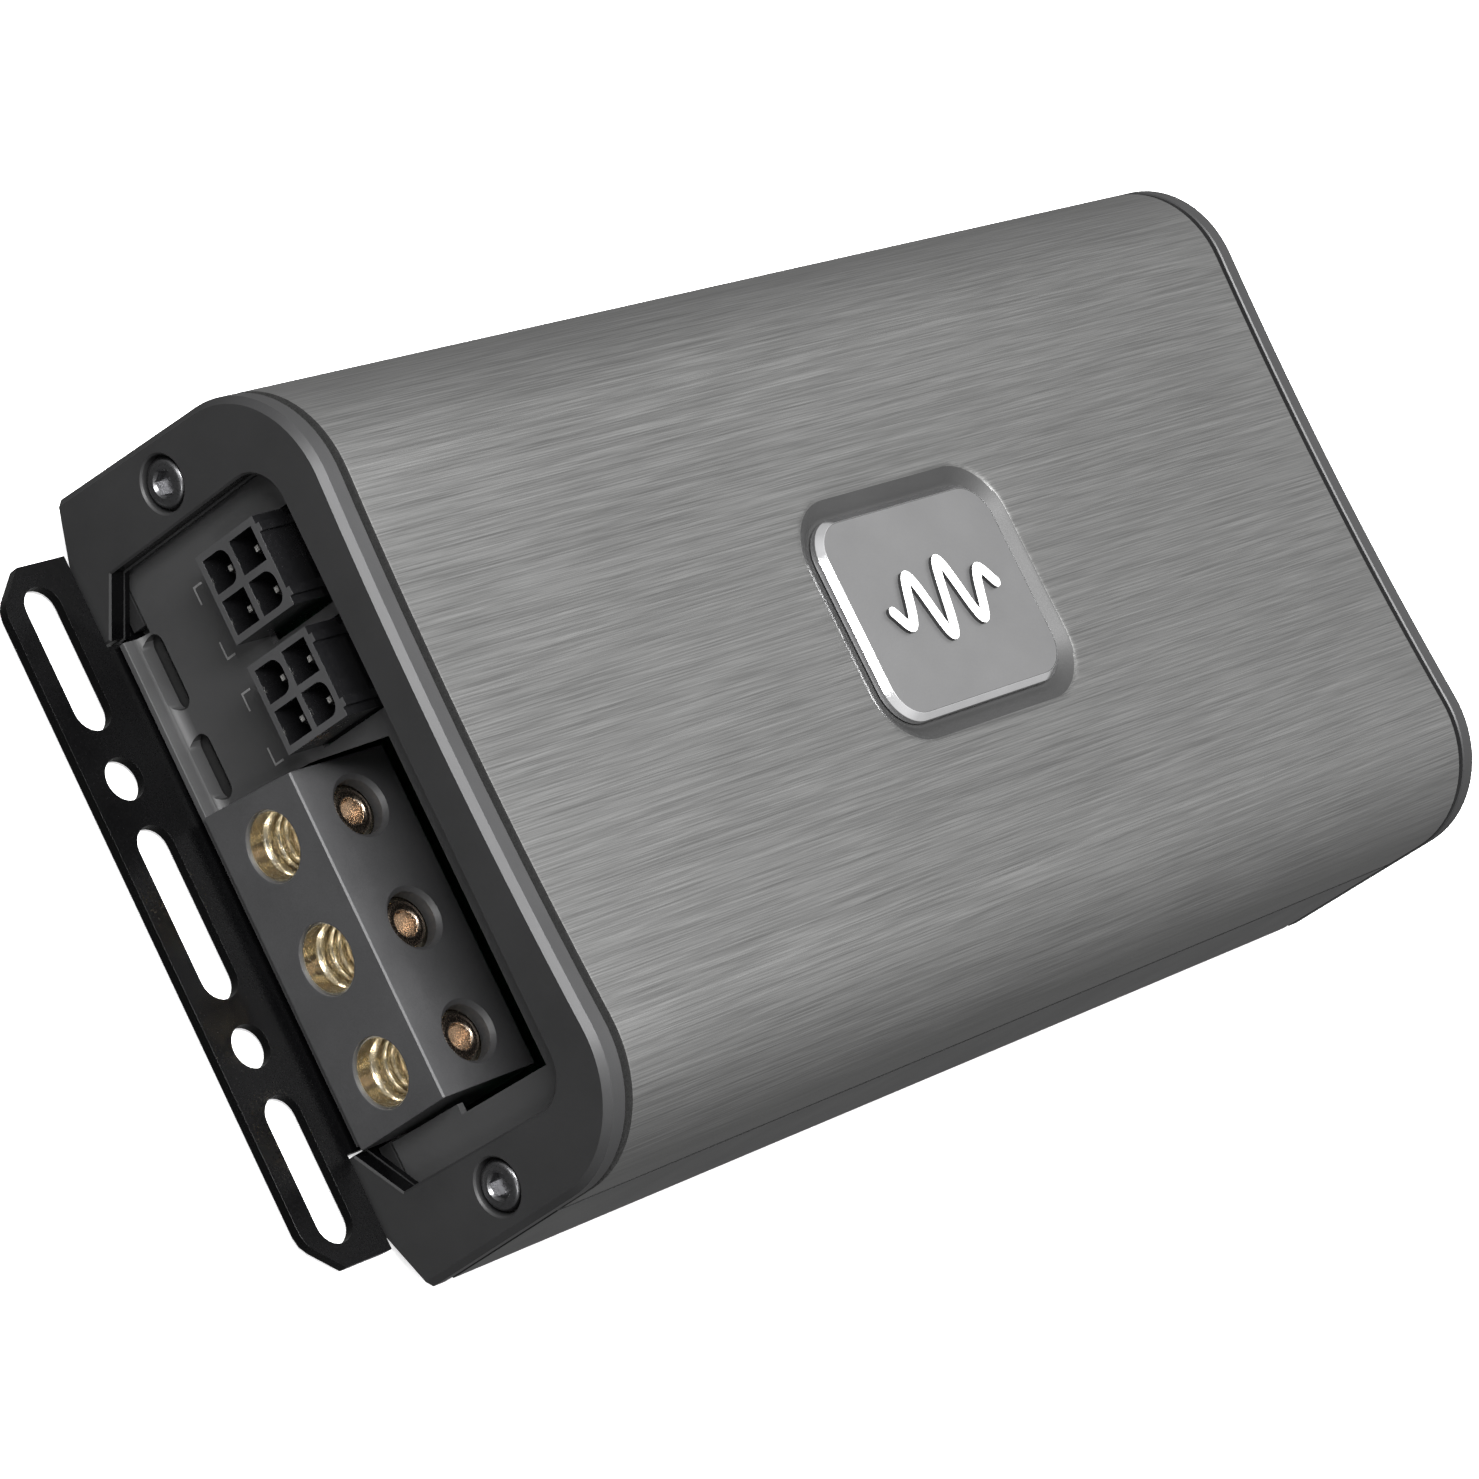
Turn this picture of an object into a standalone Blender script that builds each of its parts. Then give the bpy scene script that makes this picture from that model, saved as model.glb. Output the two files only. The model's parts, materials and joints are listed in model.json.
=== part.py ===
"""Compact four-channel car amplifier: dished brushed cover over an extruded tray,
two end plates with open-bottomed windows, a slotted mounting plate, speaker sockets,
a three-way power terminal block and the electronics inside.

All sizes below are in millimetres and are turned into metres by MM.
X runs along the body with the connector end at -X, Y across it, Z up from the feet.
"""

import math

import bmesh
import bpy
from mathutils import Matrix, Vector

MM = 0.001
TAU = 2.0 * math.pi

# ---------------------------------------------------------------- driving sizes
FIT = 0.3                   # running gap between pieces that touch
HALF_LENGTH = 77.7          # body centre to the outer face of an end plate
HALF_WIDTH = 44.0           # at the lower corners
CORNER_Z = 3.85             # height of the widest lower corner
SIDE_LEAN = 0.044           # radians the sides lean inward going up
CREST_Z = 39.31             # highest line of the cover, along each side
CORNER_R = 12.8             # upper corner radius
DISH_ANGLE = 0.0592         # slope of the dished top where it meets the corner
SHOULDER_Z = 26.5           # height of the upper corner centre

PLATE_T = 2.6               # end plate thickness
JOINT_GAP = 1.0             # dark joint between an end plate and the cover
PLATE_BEVEL = 0.7
LEG_TIP_Y = 28.8
LEG_TIP_Z = 2.2             # blunt inner tip of each foot
LEG_HEEL_Y = 34.0
WINDOW_Y = 34.4             # half width of the end plate window
WINDOW_SILL_Z = 6.4
WINDOW_TOP_Z = 33.05
WINDOW_R = 4.5
FIX_Y = 38.6                # end plate screw positions
FIX_Z = 18.8
COUNTERBORE_R = 2.98
COUNTERBORE_DEPTH = 1.5
FIX_HOLE_R = 1.6

COVER_T = 2.2
COVER_LOW_Z = 22.3          # bottom edge of the cover
TRAY_TOP_Z = 21.3           # shoulder of the tray below the side groove
TRAY_WALL_T = 1.6
TRAY_FLOOR_Z = 3.9
TRAY_UNDER_Z = 2.1
TONGUE_TOP_Z = 25.5
BOSS_Y = 35.6
BOSS_LOW_Z = 15.8

BASE_HALF_LENGTH = 88.3     # mounting plate
BASE_HALF_WIDTH = 38.8
BASE_NECK_Y = 28.4
BASE_LOW_Z = 0.6
BASE_TOP_Z = 1.8
BASE_CORNER = 3.8
SLOT_X = HALF_LENGTH + 5.73
SLOT_R = 2.35
SLOT_MID_Y = 9.6
SLOT_SIDE_Y = (20.3, 36.4)
HOLE_Y = 14.85

PANEL_T = 0.8
PANEL_SETBACK = 3.6         # end plate face to panel face
PANEL_HALF_WIDTH = 35.2
PANEL_TOP_Z = 35.0
LIP_REACH = 0.9             # end plate face to the panel's lower lip
LIP_Y = 28.1
LIP_BEND_R = 1.4
VENT_Z = 4.2
VENT_R = 1.22

SOCKET_SIZE = 9.7
SOCKET_Y = (25.2, 13.1)
SOCKET_Z = 24.9
SOCKET_PROUD = 1.5
PIN_SETBACK = 1.3           # socket face to the pin tips
SOCKET_DEPTH = 9.8
CELL = 3.7
CELL_PITCH = 4.5
CELL_DEPTH = 8.3
KEY_R = 1.3                 # rounded upper corners of the two keyed cells

BLOCK_FRONT = 0.2           # terminal block face behind the end plate face
BLOCK_DEPTH = 13.4
BLOCK_Z = (3.3, 17.3)
BLOCK_Y_LOW = (-28.8, 8.3)
BLOCK_Y_HIGH = (-28.4, 7.25)
BLOCK_CHAMFER = 0.5         # front top edge
# panel opening round the block, left clear above it so a driver reaches the clamp screws
BLOCK_OPENING = ((-29.2, 3.0), (8.6, 3.0), (7.55, 17.4), (5.4, 28.55), (-30.3, 28.55),
                 (-30.3, 15.0), (-29.2, 15.0))
SOCKET_GAPS = (0.75, 0.25)  # clearance beside each speaker socket, on its -Y side
WIRE_Y = (1.93, -10.56, -23.05)
WIRE_Z = 10.6
WIRE_HOLE_R = 3.75
WIRE_BORE_R = 3.1
TERMINAL_LENGTH = 10.9
CLAMP_SETBACK = 7.2         # end plate face to the clamp screw axes
CLAMP_WELL_R = 3.4
CLAMP_SCREW_R = 2.45

BOARD_Z = (5.0, 6.6)
PART_Z = BOARD_Z[1] + FIT   # underside of parts standing on the main board

RECESS_FLOOR_Z = 37.12
RECESS_HALF = (15.4, 12.3)
RECESS_SPREAD = 1.45        # wall spread per unit of height
BADGE_HALF = (15.0, 11.9)
BADGE_R = 4.5

# ---------------------------------------------------------------- materials
# name: colour, roughness, metallic
FINISHES = {
    "brushed_gunmetal": ((0.165, 0.165, 0.168), 0.36, 0.85),
    "anodised_black": ((0.030, 0.030, 0.032), 0.42, 0.55),
    "satin_charcoal": ((0.055, 0.055, 0.057), 0.40, 0.70),
    "powder_black": ((0.008, 0.008, 0.009), 0.30, 0.25),
    "gasket_black": ((0.004, 0.004, 0.004), 0.85, 0.0),
    "block_plastic": ((0.026, 0.026, 0.027), 0.50, 0.0),
    "connector_plastic": ((0.010, 0.010, 0.011), 0.32, 0.0),
    "brass": ((0.760, 0.560, 0.280), 0.20, 1.0),
    "tinned_contact": ((0.700, 0.690, 0.660), 0.25, 1.0),
    "zinc_steel": ((0.420, 0.420, 0.430), 0.28, 1.0),
    "chrome": ((0.780, 0.780, 0.790), 0.06, 1.0),
    "satin_grey": ((0.240, 0.240, 0.242), 0.34, 0.75),
    "white_enamel": ((0.860, 0.860, 0.850), 0.30, 0.0),
    "board_green": ((0.012, 0.060, 0.030), 0.45, 0.0),
    "ferrite": ((0.040, 0.038, 0.036), 0.70, 0.0),
    "copper_wire": ((0.640, 0.270, 0.110), 0.28, 1.0),
    "cap_sleeve": ((0.020, 0.022, 0.030), 0.38, 0.0),
    "moulded_epoxy": ((0.020, 0.020, 0.021), 0.55, 0.0),
    "plain_aluminium": ((0.620, 0.620, 0.630), 0.35, 1.0),
    "nickel": ((0.600, 0.570, 0.500), 0.18, 1.0),
    "switch_plastic": ((0.018, 0.018, 0.019), 0.45, 0.0),
    "lamp_blue": ((0.080, 0.200, 0.620), 0.15, 0.0),
}


def clear_scene():
    for obj in list(bpy.data.objects):
        bpy.data.objects.remove(obj, do_unlink=True)
    for mesh in list(bpy.data.meshes):
        bpy.data.meshes.remove(mesh)


# ---------------------------------------------------------------- mesh helpers
def build_object(name, verts, faces):
    """Makes an object from millimetre vertices, with all faces turned outward."""
    mesh = bpy.data.meshes.new(name)
    bm = bmesh.new()
    made = [bm.verts.new([c * MM for c in v]) for v in verts]
    for face in faces:
        bm.faces.new([made[i] for i in face])
    bmesh.ops.recalc_face_normals(bm, faces=bm.faces)
    bm.to_mesh(mesh)
    bm.free()
    obj = bpy.data.objects.new(name, mesh)
    bpy.context.collection.objects.link(obj)
    return obj


def loft(name, sections, to_point):
    """Joins outlines with equal point counts; to_point maps (station, a, b) to x, y, z."""
    verts = []
    faces = []
    count = len(sections[0][1])
    for station, outline in sections:
        verts.extend(to_point(station, a, b) for a, b in outline)
    for ring in range(len(sections) - 1):
        for i in range(count):
            j = (i + 1) % count
            low = ring * count
            high = low + count
            faces.append((low + i, low + j, high + j, high + i))
    last = (len(sections) - 1) * count
    faces.append(tuple(range(count - 1, -1, -1)))
    faces.append(tuple(range(last, last + count)))
    return build_object(name, verts, faces)


def loft_x(name, sections):
    return loft(name, sections, lambda s, a, b: (s, a, b))


def prism_x(name, outline, x_low, x_high):
    return loft_x(name, [(x_low, outline), (x_high, outline)])


def prism_y(name, outline, y_low, y_high):
    """outline holds (x, z) pairs."""
    return loft(name, [(y_low, outline), (y_high, outline)], lambda s, a, b: (a, s, b))


def loft_z(name, sections):
    """outlines hold (x, y) pairs."""
    return loft(name, sections, lambda s, a, b: (a, b, s))


def prism_z(name, outline, z_low, z_high):
    return loft_z(name, [(z_low, outline), (z_high, outline)])


def rectangle(a_low, a_high, b_low, b_high):
    return [(a_low, b_low), (a_high, b_low), (a_high, b_high), (a_low, b_high)]


def box(name, x, y, z):
    return prism_x(name, rectangle(y[0], y[1], z[0], z[1]), x[0], x[1])


def arc(centre, radius, start, end, steps):
    points = []
    for i in range(steps + 1):
        angle = start + (end - start) * i / steps
        points.append((centre[0] + radius * math.cos(angle), centre[1] + radius * math.sin(angle)))
    return points


def circle(centre, radius, steps=24):
    return arc(centre, radius, 0.0, TAU * (steps - 1) / steps, steps - 1)


def rounded_rectangle(half_a, half_b, radius, steps=5, centre=(0.0, 0.0)):
    points = []
    corners = ((1, 1, 0.0), (-1, 1, 0.25), (-1, -1, 0.5), (1, -1, 0.75))
    for sign_a, sign_b, turn in corners:
        middle = (centre[0] + sign_a * (half_a - radius), centre[1] + sign_b * (half_b - radius))
        points.extend(arc(middle, radius, turn * TAU, (turn + 0.25) * TAU, steps))
    return points


def obround(centre, half_run, radius, steps=8):
    """Slot outline running along the second coordinate."""
    top = (centre[0], centre[1] + half_run)
    bottom = (centre[0], centre[1] - half_run)
    return arc(top, radius, 0.0, math.pi, steps) + arc(bottom, radius, math.pi, TAU, steps)


def hexagon(centre, across_flats):
    radius = across_flats / math.sqrt(3.0)
    return circle(centre, radius, 6)


def turned(name, profile, origin, axis, segments=24):
    """Revolves (radius, height) pairs about an axis through origin; ends lie on the axis."""
    direction = Vector(axis).normalized()
    turn = Vector((0, 0, 1)).rotation_difference(direction).to_matrix()
    base = Vector(origin)
    verts = []
    rings = []
    for radius, height in profile:
        if radius == 0.0:
            rings.append([len(verts)])
            verts.append(base + turn @ Vector((0, 0, height)))
            continue
        ring = []
        for i in range(segments):
            angle = TAU * i / segments
            ring.append(len(verts))
            local = Vector((radius * math.cos(angle), radius * math.sin(angle), height))
            verts.append(base + turn @ local)
        rings.append(ring)
    faces = []
    for low, high in zip(rings, rings[1:]):
        for i in range(segments):
            j = (i + 1) % segments
            if len(low) == 1:
                faces.append((low[0], high[j], high[i]))
            elif len(high) == 1:
                faces.append((low[i], low[j], high[0]))
            else:
                faces.append((low[i], low[j], high[j], high[i]))
    return build_object(name, verts, faces)


def rod(name, origin, axis, radius, length, segments=24):
    return turned(name, [(0.0, 0.0), (radius, 0.0), (radius, length), (0.0, length)],
                  origin, axis, segments)


def tube(name, origin, axis, outer, inner, length, segments=24):
    """Open ring: the profile closes on itself instead of ending on the axis."""
    direction = Vector(axis).normalized()
    turn = Vector((0, 0, 1)).rotation_difference(direction).to_matrix()
    base = Vector(origin)
    profile = [(inner, 0.0), (outer, 0.0), (outer, length), (inner, length)]
    verts = []
    for radius, height in profile:
        for i in range(segments):
            angle = TAU * i / segments
            local = Vector((radius * math.cos(angle), radius * math.sin(angle), height))
            verts.append(base + turn @ local)
    faces = []
    for ring in range(4):
        low = ring * segments
        high = ((ring + 1) % 4) * segments
        for i in range(segments):
            j = (i + 1) % segments
            faces.append((low + i, low + j, high + j, high + i))
    return build_object(name, verts, faces)


def combine(target, tool, operation):
    """Applies an exact boolean and removes the tool body."""
    modifier = target.modifiers.new("combine", "BOOLEAN")
    modifier.operation = operation
    modifier.solver = "EXACT"
    modifier.object = tool
    graph = bpy.context.evaluated_depsgraph_get()
    mesh = bpy.data.meshes.new_from_object(target.evaluated_get(graph))
    target.modifiers.clear()
    target.data = mesh
    bpy.data.objects.remove(tool, do_unlink=True)
    return target


def cut(target, *tools):
    for tool in tools:
        combine(target, tool, "DIFFERENCE")
    return target


def join(target, *tools):
    for tool in tools:
        combine(target, tool, "UNION")
    return target


def finish(obj, look, origin=(0.0, 0.0, 0.0), smooth_angle=32.0):
    """Cleans the mesh, moves its origin, sets its look and its shading."""
    mesh = obj.data
    shift = Vector(origin) * MM
    mesh.transform(Matrix.Translation(-shift))
    obj.location = shift
    bm = bmesh.new()
    bm.from_mesh(mesh)
    bmesh.ops.remove_doubles(bm, verts=bm.verts, dist=0.00001)
    bmesh.ops.dissolve_limit(bm, angle_limit=0.001, verts=bm.verts, edges=bm.edges)
    bmesh.ops.triangulate(bm, faces=[f for f in bm.faces if len(f.verts) > 4])
    bmesh.ops.recalc_face_normals(bm, faces=bm.faces)
    bm.to_mesh(mesh)
    bm.free()
    mesh.name = obj.name
    colour, roughness, metallic = FINISHES[look]
    material = bpy.data.materials.get(look) or bpy.data.materials.new(look)
    material.use_nodes = True
    shader = material.node_tree.nodes["Principled BSDF"]
    shader.inputs["Base Color"].default_value = (*colour, 1.0)
    shader.inputs["Roughness"].default_value = roughness
    shader.inputs["Metallic"].default_value = metallic
    mesh.materials.clear()
    mesh.materials.append(material)
    mesh.shade_smooth()
    mesh.set_sharp_from_angle(angle=math.radians(smooth_angle))
    return obj


# ---------------------------------------------------------------- body section
def side_y(z, inset=0.0):
    """Half width of the leaning side at height z."""
    return HALF_WIDTH - math.tan(SIDE_LEAN) * (z - CORNER_Z) - inset / math.cos(SIDE_LEAN)


def arch(z_low, inset=0.0, corner_steps=10, dish_steps=10):
    """Cover section from the +Y side at z_low, over the dished top, to the -Y side."""
    corner_y = side_y(SHOULDER_Z, CORNER_R)
    radius = CORNER_R - inset
    over = math.pi / 2 + DISH_ANGLE
    half = [(side_y(z_low, inset), z_low)]
    half += arc((corner_y, SHOULDER_Z), radius, SIDE_LEAN, over, corner_steps)
    dish_r = (corner_y - CORNER_R * math.sin(DISH_ANGLE)) / math.sin(DISH_ANGLE)
    dish_z = SHOULDER_Z + (CORNER_R + dish_r) * math.cos(DISH_ANGLE)
    middle = []
    for i in range(1, dish_steps):
        angle = DISH_ANGLE * (1.0 - 2.0 * i / dish_steps)
        reach = dish_r + inset
        middle.append((reach * math.sin(angle), dish_z - reach * math.cos(angle)))
    mirrored = [(-y, z) for y, z in reversed(half)]
    return half + middle + mirrored


def band(z_low, outer_inset, inner_inset):
    """Closed arch-shaped strip between two insets."""
    return arch(z_low, outer_inset) + list(reversed(arch(z_low, inner_inset)))


def end_plate_outline(inset):
    outer = arch(CORNER_Z, inset)
    left_foot = [(-LEG_HEEL_Y, 0.0), (-LEG_TIP_Y, 0.0), (-LEG_TIP_Y, LEG_TIP_Z)]
    window = [(-WINDOW_Y, WINDOW_SILL_Z)]
    centre_y = WINDOW_Y - WINDOW_R
    centre_z = WINDOW_TOP_Z - WINDOW_R
    window += arc((-centre_y, centre_z), WINDOW_R, math.pi, math.pi / 2, 5)
    window += arc((centre_y, centre_z), WINDOW_R, math.pi / 2, 0.0, 5)
    window += [(WINDOW_Y, WINDOW_SILL_Z)]
    right_foot = [(LEG_TIP_Y, LEG_TIP_Z), (LEG_TIP_Y, 0.0), (LEG_HEEL_Y, 0.0)]
    return outer + left_foot + window + right_foot


# ---------------------------------------------------------------- shell pieces
def make_end_plate(name, end):
    """end is -1 for the connector end and +1 for the input end."""
    face = end * HALF_LENGTH
    sections = [
        (face, end_plate_outline(PLATE_BEVEL)),
        (face - end * PLATE_BEVEL, end_plate_outline(0.0)),
        (face - end * PLATE_T, end_plate_outline(0.0)),
    ]
    plate = loft_x(name, sections)
    for side in (-1, 1):
        outside = (face + end, side * FIX_Y, FIX_Z)
        cut(plate, rod("bore", outside, (-end, 0, 0), COUNTERBORE_R, COUNTERBORE_DEPTH + 1.0, 28))
        cut(plate, rod("bore", outside, (-end, 0, 0), FIX_HOLE_R, PLATE_T + 2.0, 20))
    return finish(plate, "anodised_black")


def make_gasket(name, end):
    inner = end * (HALF_LENGTH - PLATE_T - JOINT_GAP + 0.25)
    outer = end * (HALF_LENGTH - PLATE_T - 0.25)
    return finish(prism_x(name, band(4.4, 1.2, 3.1), inner, outer), "gasket_black")


def make_cover():
    half = HALF_LENGTH - PLATE_T - JOINT_GAP
    cover = prism_x("top_cover", band(COVER_LOW_Z, 0.0, COVER_T), -half, half)
    rise = 2.5
    floor = rounded_rectangle(RECESS_HALF[0], RECESS_HALF[1], 5.0, 6)
    mouth = rounded_rectangle(RECESS_HALF[0] + rise * RECESS_SPREAD,
                              RECESS_HALF[1] + rise * RECESS_SPREAD,
                              5.0 + rise * RECESS_SPREAD * 0.5, 6)
    cut(cover, loft_z("recess", [(RECESS_FLOOR_Z, floor), (RECESS_FLOOR_Z + rise, mouth)]))
    return finish(cover, "brushed_gunmetal", smooth_angle=24.0)


def tray_outline():
    tongue_out = COVER_T + FIT
    tongue_in = tongue_out + 1.4
    rib_y = 37.0
    rib_top = BOARD_Z[0] - FIT
    half = [
        (38.9, TRAY_UNDER_Z),
        (HALF_WIDTH, CORNER_Z),
        (side_y(TRAY_TOP_Z), TRAY_TOP_Z),
        (side_y(TRAY_TOP_Z, tongue_out), TRAY_TOP_Z),
        (side_y(TONGUE_TOP_Z, tongue_out), TONGUE_TOP_Z),
        (side_y(TONGUE_TOP_Z, tongue_in), TONGUE_TOP_Z),
        (side_y(TRAY_TOP_Z, tongue_in), TRAY_TOP_Z),
        (BOSS_Y, TRAY_TOP_Z),
        (BOSS_Y, BOSS_LOW_Z),
        (side_y(BOSS_LOW_Z, TRAY_WALL_T), BOSS_LOW_Z),
        (side_y(TRAY_FLOOR_Z, TRAY_WALL_T), TRAY_FLOOR_Z),
        (rib_y + 0.8, TRAY_FLOOR_Z),
        (rib_y + 0.8, rib_top),
        (rib_y - 0.8, rib_top),
        (rib_y - 0.8, TRAY_FLOOR_Z),
    ]
    return half + [(-y, z) for y, z in reversed(half)]


def make_tray():
    half = HALF_LENGTH - PLATE_T - JOINT_GAP
    tray = prism_x("chassis_tray", tray_outline(), -half, half)
    for end in (-1, 1):
        mouth = end * (half + 1.0)
        back = end * (HALF_LENGTH - PANEL_SETBACK - PANEL_T - 0.4)
        notch_y = LIP_Y + 0.9
        cut(tray, box("notch", sorted((mouth, back)), (-notch_y, notch_y), (0.0, TRAY_FLOOR_Z + 0.2)))
        for side in (-1, 1):
            start = (mouth, side * FIX_Y, FIX_Z)
            cut(tray, rod("bore", start, (-end, 0, 0), 1.5, 14.0, 16))
    return finish(tray, "satin_charcoal")


def make_mounting_plate():
    half_x = BASE_HALF_LENGTH
    half_y = BASE_HALF_WIDTH
    notch_out = HALF_LENGTH + FIT
    notch_in = HALF_LENGTH - PLATE_T - FIT
    quarter = [
        (0.0, half_y),
        (notch_in, half_y),
        (notch_in, BASE_NECK_Y),
        (notch_out, BASE_NECK_Y),
        (notch_out, half_y),
        (half_x - BASE_CORNER, half_y),
        (half_x - 0.6, half_y - BASE_CORNER + 0.6),
        (half_x, half_y - BASE_CORNER - 0.8),
    ]
    mirrored = [(x, -y) for x, y in reversed(quarter)]
    right = quarter + mirrored
    left = [(-x, -y) for x, y in right][1:-1]
    plate = prism_z("mounting_plate", right + left, BASE_LOW_Z, BASE_TOP_Z)
    side_mid = (SLOT_SIDE_Y[0] + SLOT_SIDE_Y[1]) / 2
    side_run = (SLOT_SIDE_Y[1] - SLOT_SIDE_Y[0]) / 2 - SLOT_R
    for end in (-1, 1):
        x = end * SLOT_X
        cut(plate, prism_z("slot", obround((x, 0.0), SLOT_MID_Y - SLOT_R, SLOT_R), -2.0, 4.0))
        for side in (-1, 1):
            cut(plate, prism_z("slot", obround((x, side * side_mid), side_run, SLOT_R), -2.0, 4.0))
            cut(plate, prism_z("hole", circle((x, side * HOLE_Y), SLOT_R, 20), -2.0, 4.0))
    return finish(plate, "powder_black")


def make_panel(name, end, openings):
    """Sheet closing an end window, with a lip that comes forward between the legs."""
    face = end * (HALF_LENGTH - PANEL_SETBACK)
    back = face - end * PANEL_T
    lip = end * (HALF_LENGTH - LIP_REACH)
    lip_low = TRAY_UNDER_Z
    lip_high = lip_low + 0.8
    fillet = [(face + end * LIP_BEND_R * (1 - math.sin(a)), lip_high + LIP_BEND_R * (1 - math.cos(a)))
              for a in (0.0, 0.4, 0.8, 1.2, math.pi / 2)]
    section = [(lip, lip_low), (lip, lip_high)] + fillet + [(face, 4.6), (back, 4.6), (back, lip_low)]
    panel = prism_y(name, section, -LIP_Y, LIP_Y)
    wall = box("wall", sorted((face, back)), (-PANEL_HALF_WIDTH, PANEL_HALF_WIDTH),
               (TRAY_FLOOR_Z + 0.35, PANEL_TOP_Z))
    join(panel, wall)
    low, high = sorted((face + end * (LIP_BEND_R + 0.2), back - end))
    for outline in openings:
        cut(panel, prism_x("opening", outline, low, high))
    return finish(panel, "anodised_black")


def vent(centre_y, half_run=4.2):
    """Rounded slot low on a panel, running along Y."""
    slot = obround((VENT_Z, centre_y), half_run - VENT_R, VENT_R, 5)
    return [(y, z) for z, y in slot]


# ---------------------------------------------------------------- connector end
def make_speaker_socket(name, y):
    half = SOCKET_SIZE / 2
    front = -(HALF_LENGTH + SOCKET_PROUD)
    rib_high = half + 0.5
    outline = [(half, -half), (half, half)]
    for middle in (3.5, -3.5):
        outline += [(middle + 0.45, half), (middle + 0.45, rib_high)]
        outline += [(middle - 0.45, rib_high), (middle - 0.45, half)]
    outline += [(-half, half), (-half, -half)]
    outline = [(y + a, SOCKET_Z + b) for a, b in outline]
    body = prism_x(name, outline, front, front + SOCKET_DEPTH)
    for row in (-1, 1):
        for column in (-1, 1):
            centre = (y + column * CELL_PITCH / 2, SOCKET_Z + row * CELL_PITCH / 2)
            if row == column:
                cell = rectangle(centre[0] - CELL / 2, centre[0] + CELL / 2,
                                 centre[1] - CELL / 2, centre[1] + CELL / 2)
            else:
                low_y, high_y = centre[0] - CELL / 2, centre[0] + CELL / 2
                low_z, high_z = centre[1] - CELL / 2, centre[1] + CELL / 2
                cell = [(low_y, low_z), (high_y, low_z)]
                cell += arc((high_y - KEY_R, high_z - KEY_R), KEY_R, 0.0, TAU / 4, 3)
                cell += arc((low_y + KEY_R, high_z - KEY_R), KEY_R, TAU / 4, TAU / 2, 3)
            cut(body, prism_x("cell", cell, front - 1.0, front + CELL_DEPTH))
            hole = rectangle(centre[0] - 0.8, centre[0] + 0.8, centre[1] - 0.8, centre[1] + 0.8)
            cut(body, prism_x("hole", hole, front - 1.0, front + SOCKET_DEPTH + 1.0))
    return finish(body, "connector_plastic")


def make_speaker_pins(letter, y):
    tip = -(HALF_LENGTH + SOCKET_PROUD - PIN_SETBACK)
    tail = -(HALF_LENGTH - SOCKET_DEPTH + SOCKET_PROUD) + 0.1
    number = 0
    for row in (1, -1):
        for column in (1, -1):
            number += 1
            cy = y + column * CELL_PITCH / 2
            cz = SOCKET_Z + row * CELL_PITCH / 2
            sections = [
                (tip, rectangle(cy - 0.28, cy + 0.28, cz - 0.28, cz + 0.28)),
                (tip + 0.7, rectangle(cy - 0.5, cy + 0.5, cz - 0.5, cz + 0.5)),
                (tail, rectangle(cy - 0.5, cy + 0.5, cz - 0.5, cz + 0.5)),
            ]
            finish(loft_x(f"speaker_pin_{letter}{number}", sections), "tinned_contact")


def make_terminal_block():
    front = -(HALF_LENGTH - BLOCK_FRONT)
    back = front + BLOCK_DEPTH
    step = -(HALF_LENGTH - 4.5)
    sections = [(BLOCK_Z[0], rectangle(front, back, *BLOCK_Y_LOW)),
                (BLOCK_Z[1], rectangle(front, back, *BLOCK_Y_HIGH))]
    block = loft_z("power_terminal_block", sections)
    cut(block, box("undercut", (step, back + 1.0), (-40.0, 20.0), (0.0, 4.25)))
    top = BLOCK_Z[1]
    corner = [(front - 1.0, top + 1.0), (front - 1.0, top - BLOCK_CHAMFER - 1.0),
              (front + BLOCK_CHAMFER + 1.0, top + 1.0)]
    cut(block, prism_y("chamfer", corner, -40.0, 20.0))
    for y in WIRE_Y:
        cut(block, box("pocket", (front + 2.0, back + 1.0), (y - 5.0, y + 5.0), (5.8, 15.3)))
        cut(block, rod("bore", (front - 1.0, y, WIRE_Z), (1, 0, 0), WIRE_HOLE_R, 4.0, 28))
        well = (-(HALF_LENGTH - CLAMP_SETBACK), y, 14.0)
        cut(block, rod("well", well, (0, 0, 1), CLAMP_WELL_R, 5.0, 28))
    return finish(block, "block_plastic")


def make_power_terminal(number, y):
    front = -(HALF_LENGTH - BLOCK_FRONT) + 2.0 + FIT
    back = front + TERMINAL_LENGTH
    barrel = box(f"power_terminal_{number}", (front, back), (y - 4.7, y + 4.7), (6.1, 15.0))
    join(barrel, box("tab", (back - 0.5, back + 5.0), (y - 2.5, y + 2.5), (7.2, 8.2)))
    dish = [(0.0, 0.0), (WIRE_BORE_R + 0.5, 0.0), (WIRE_BORE_R + 0.5, 1.0), (WIRE_BORE_R, 1.5),
            (WIRE_BORE_R, 8.9), (1.2, 10.6), (0.0, 10.6)]
    cut(barrel, turned("bore", dish, (front - 1.0, y, WIRE_Z), (1, 0, 0), 28))
    clamp = (-(HALF_LENGTH - CLAMP_SETBACK), y, WIRE_Z)
    cut(barrel, rod("thread", clamp, (0, 0, 1), CLAMP_SCREW_R + 0.10, 8.0, 24))
    return finish(barrel, "brass")


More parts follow.
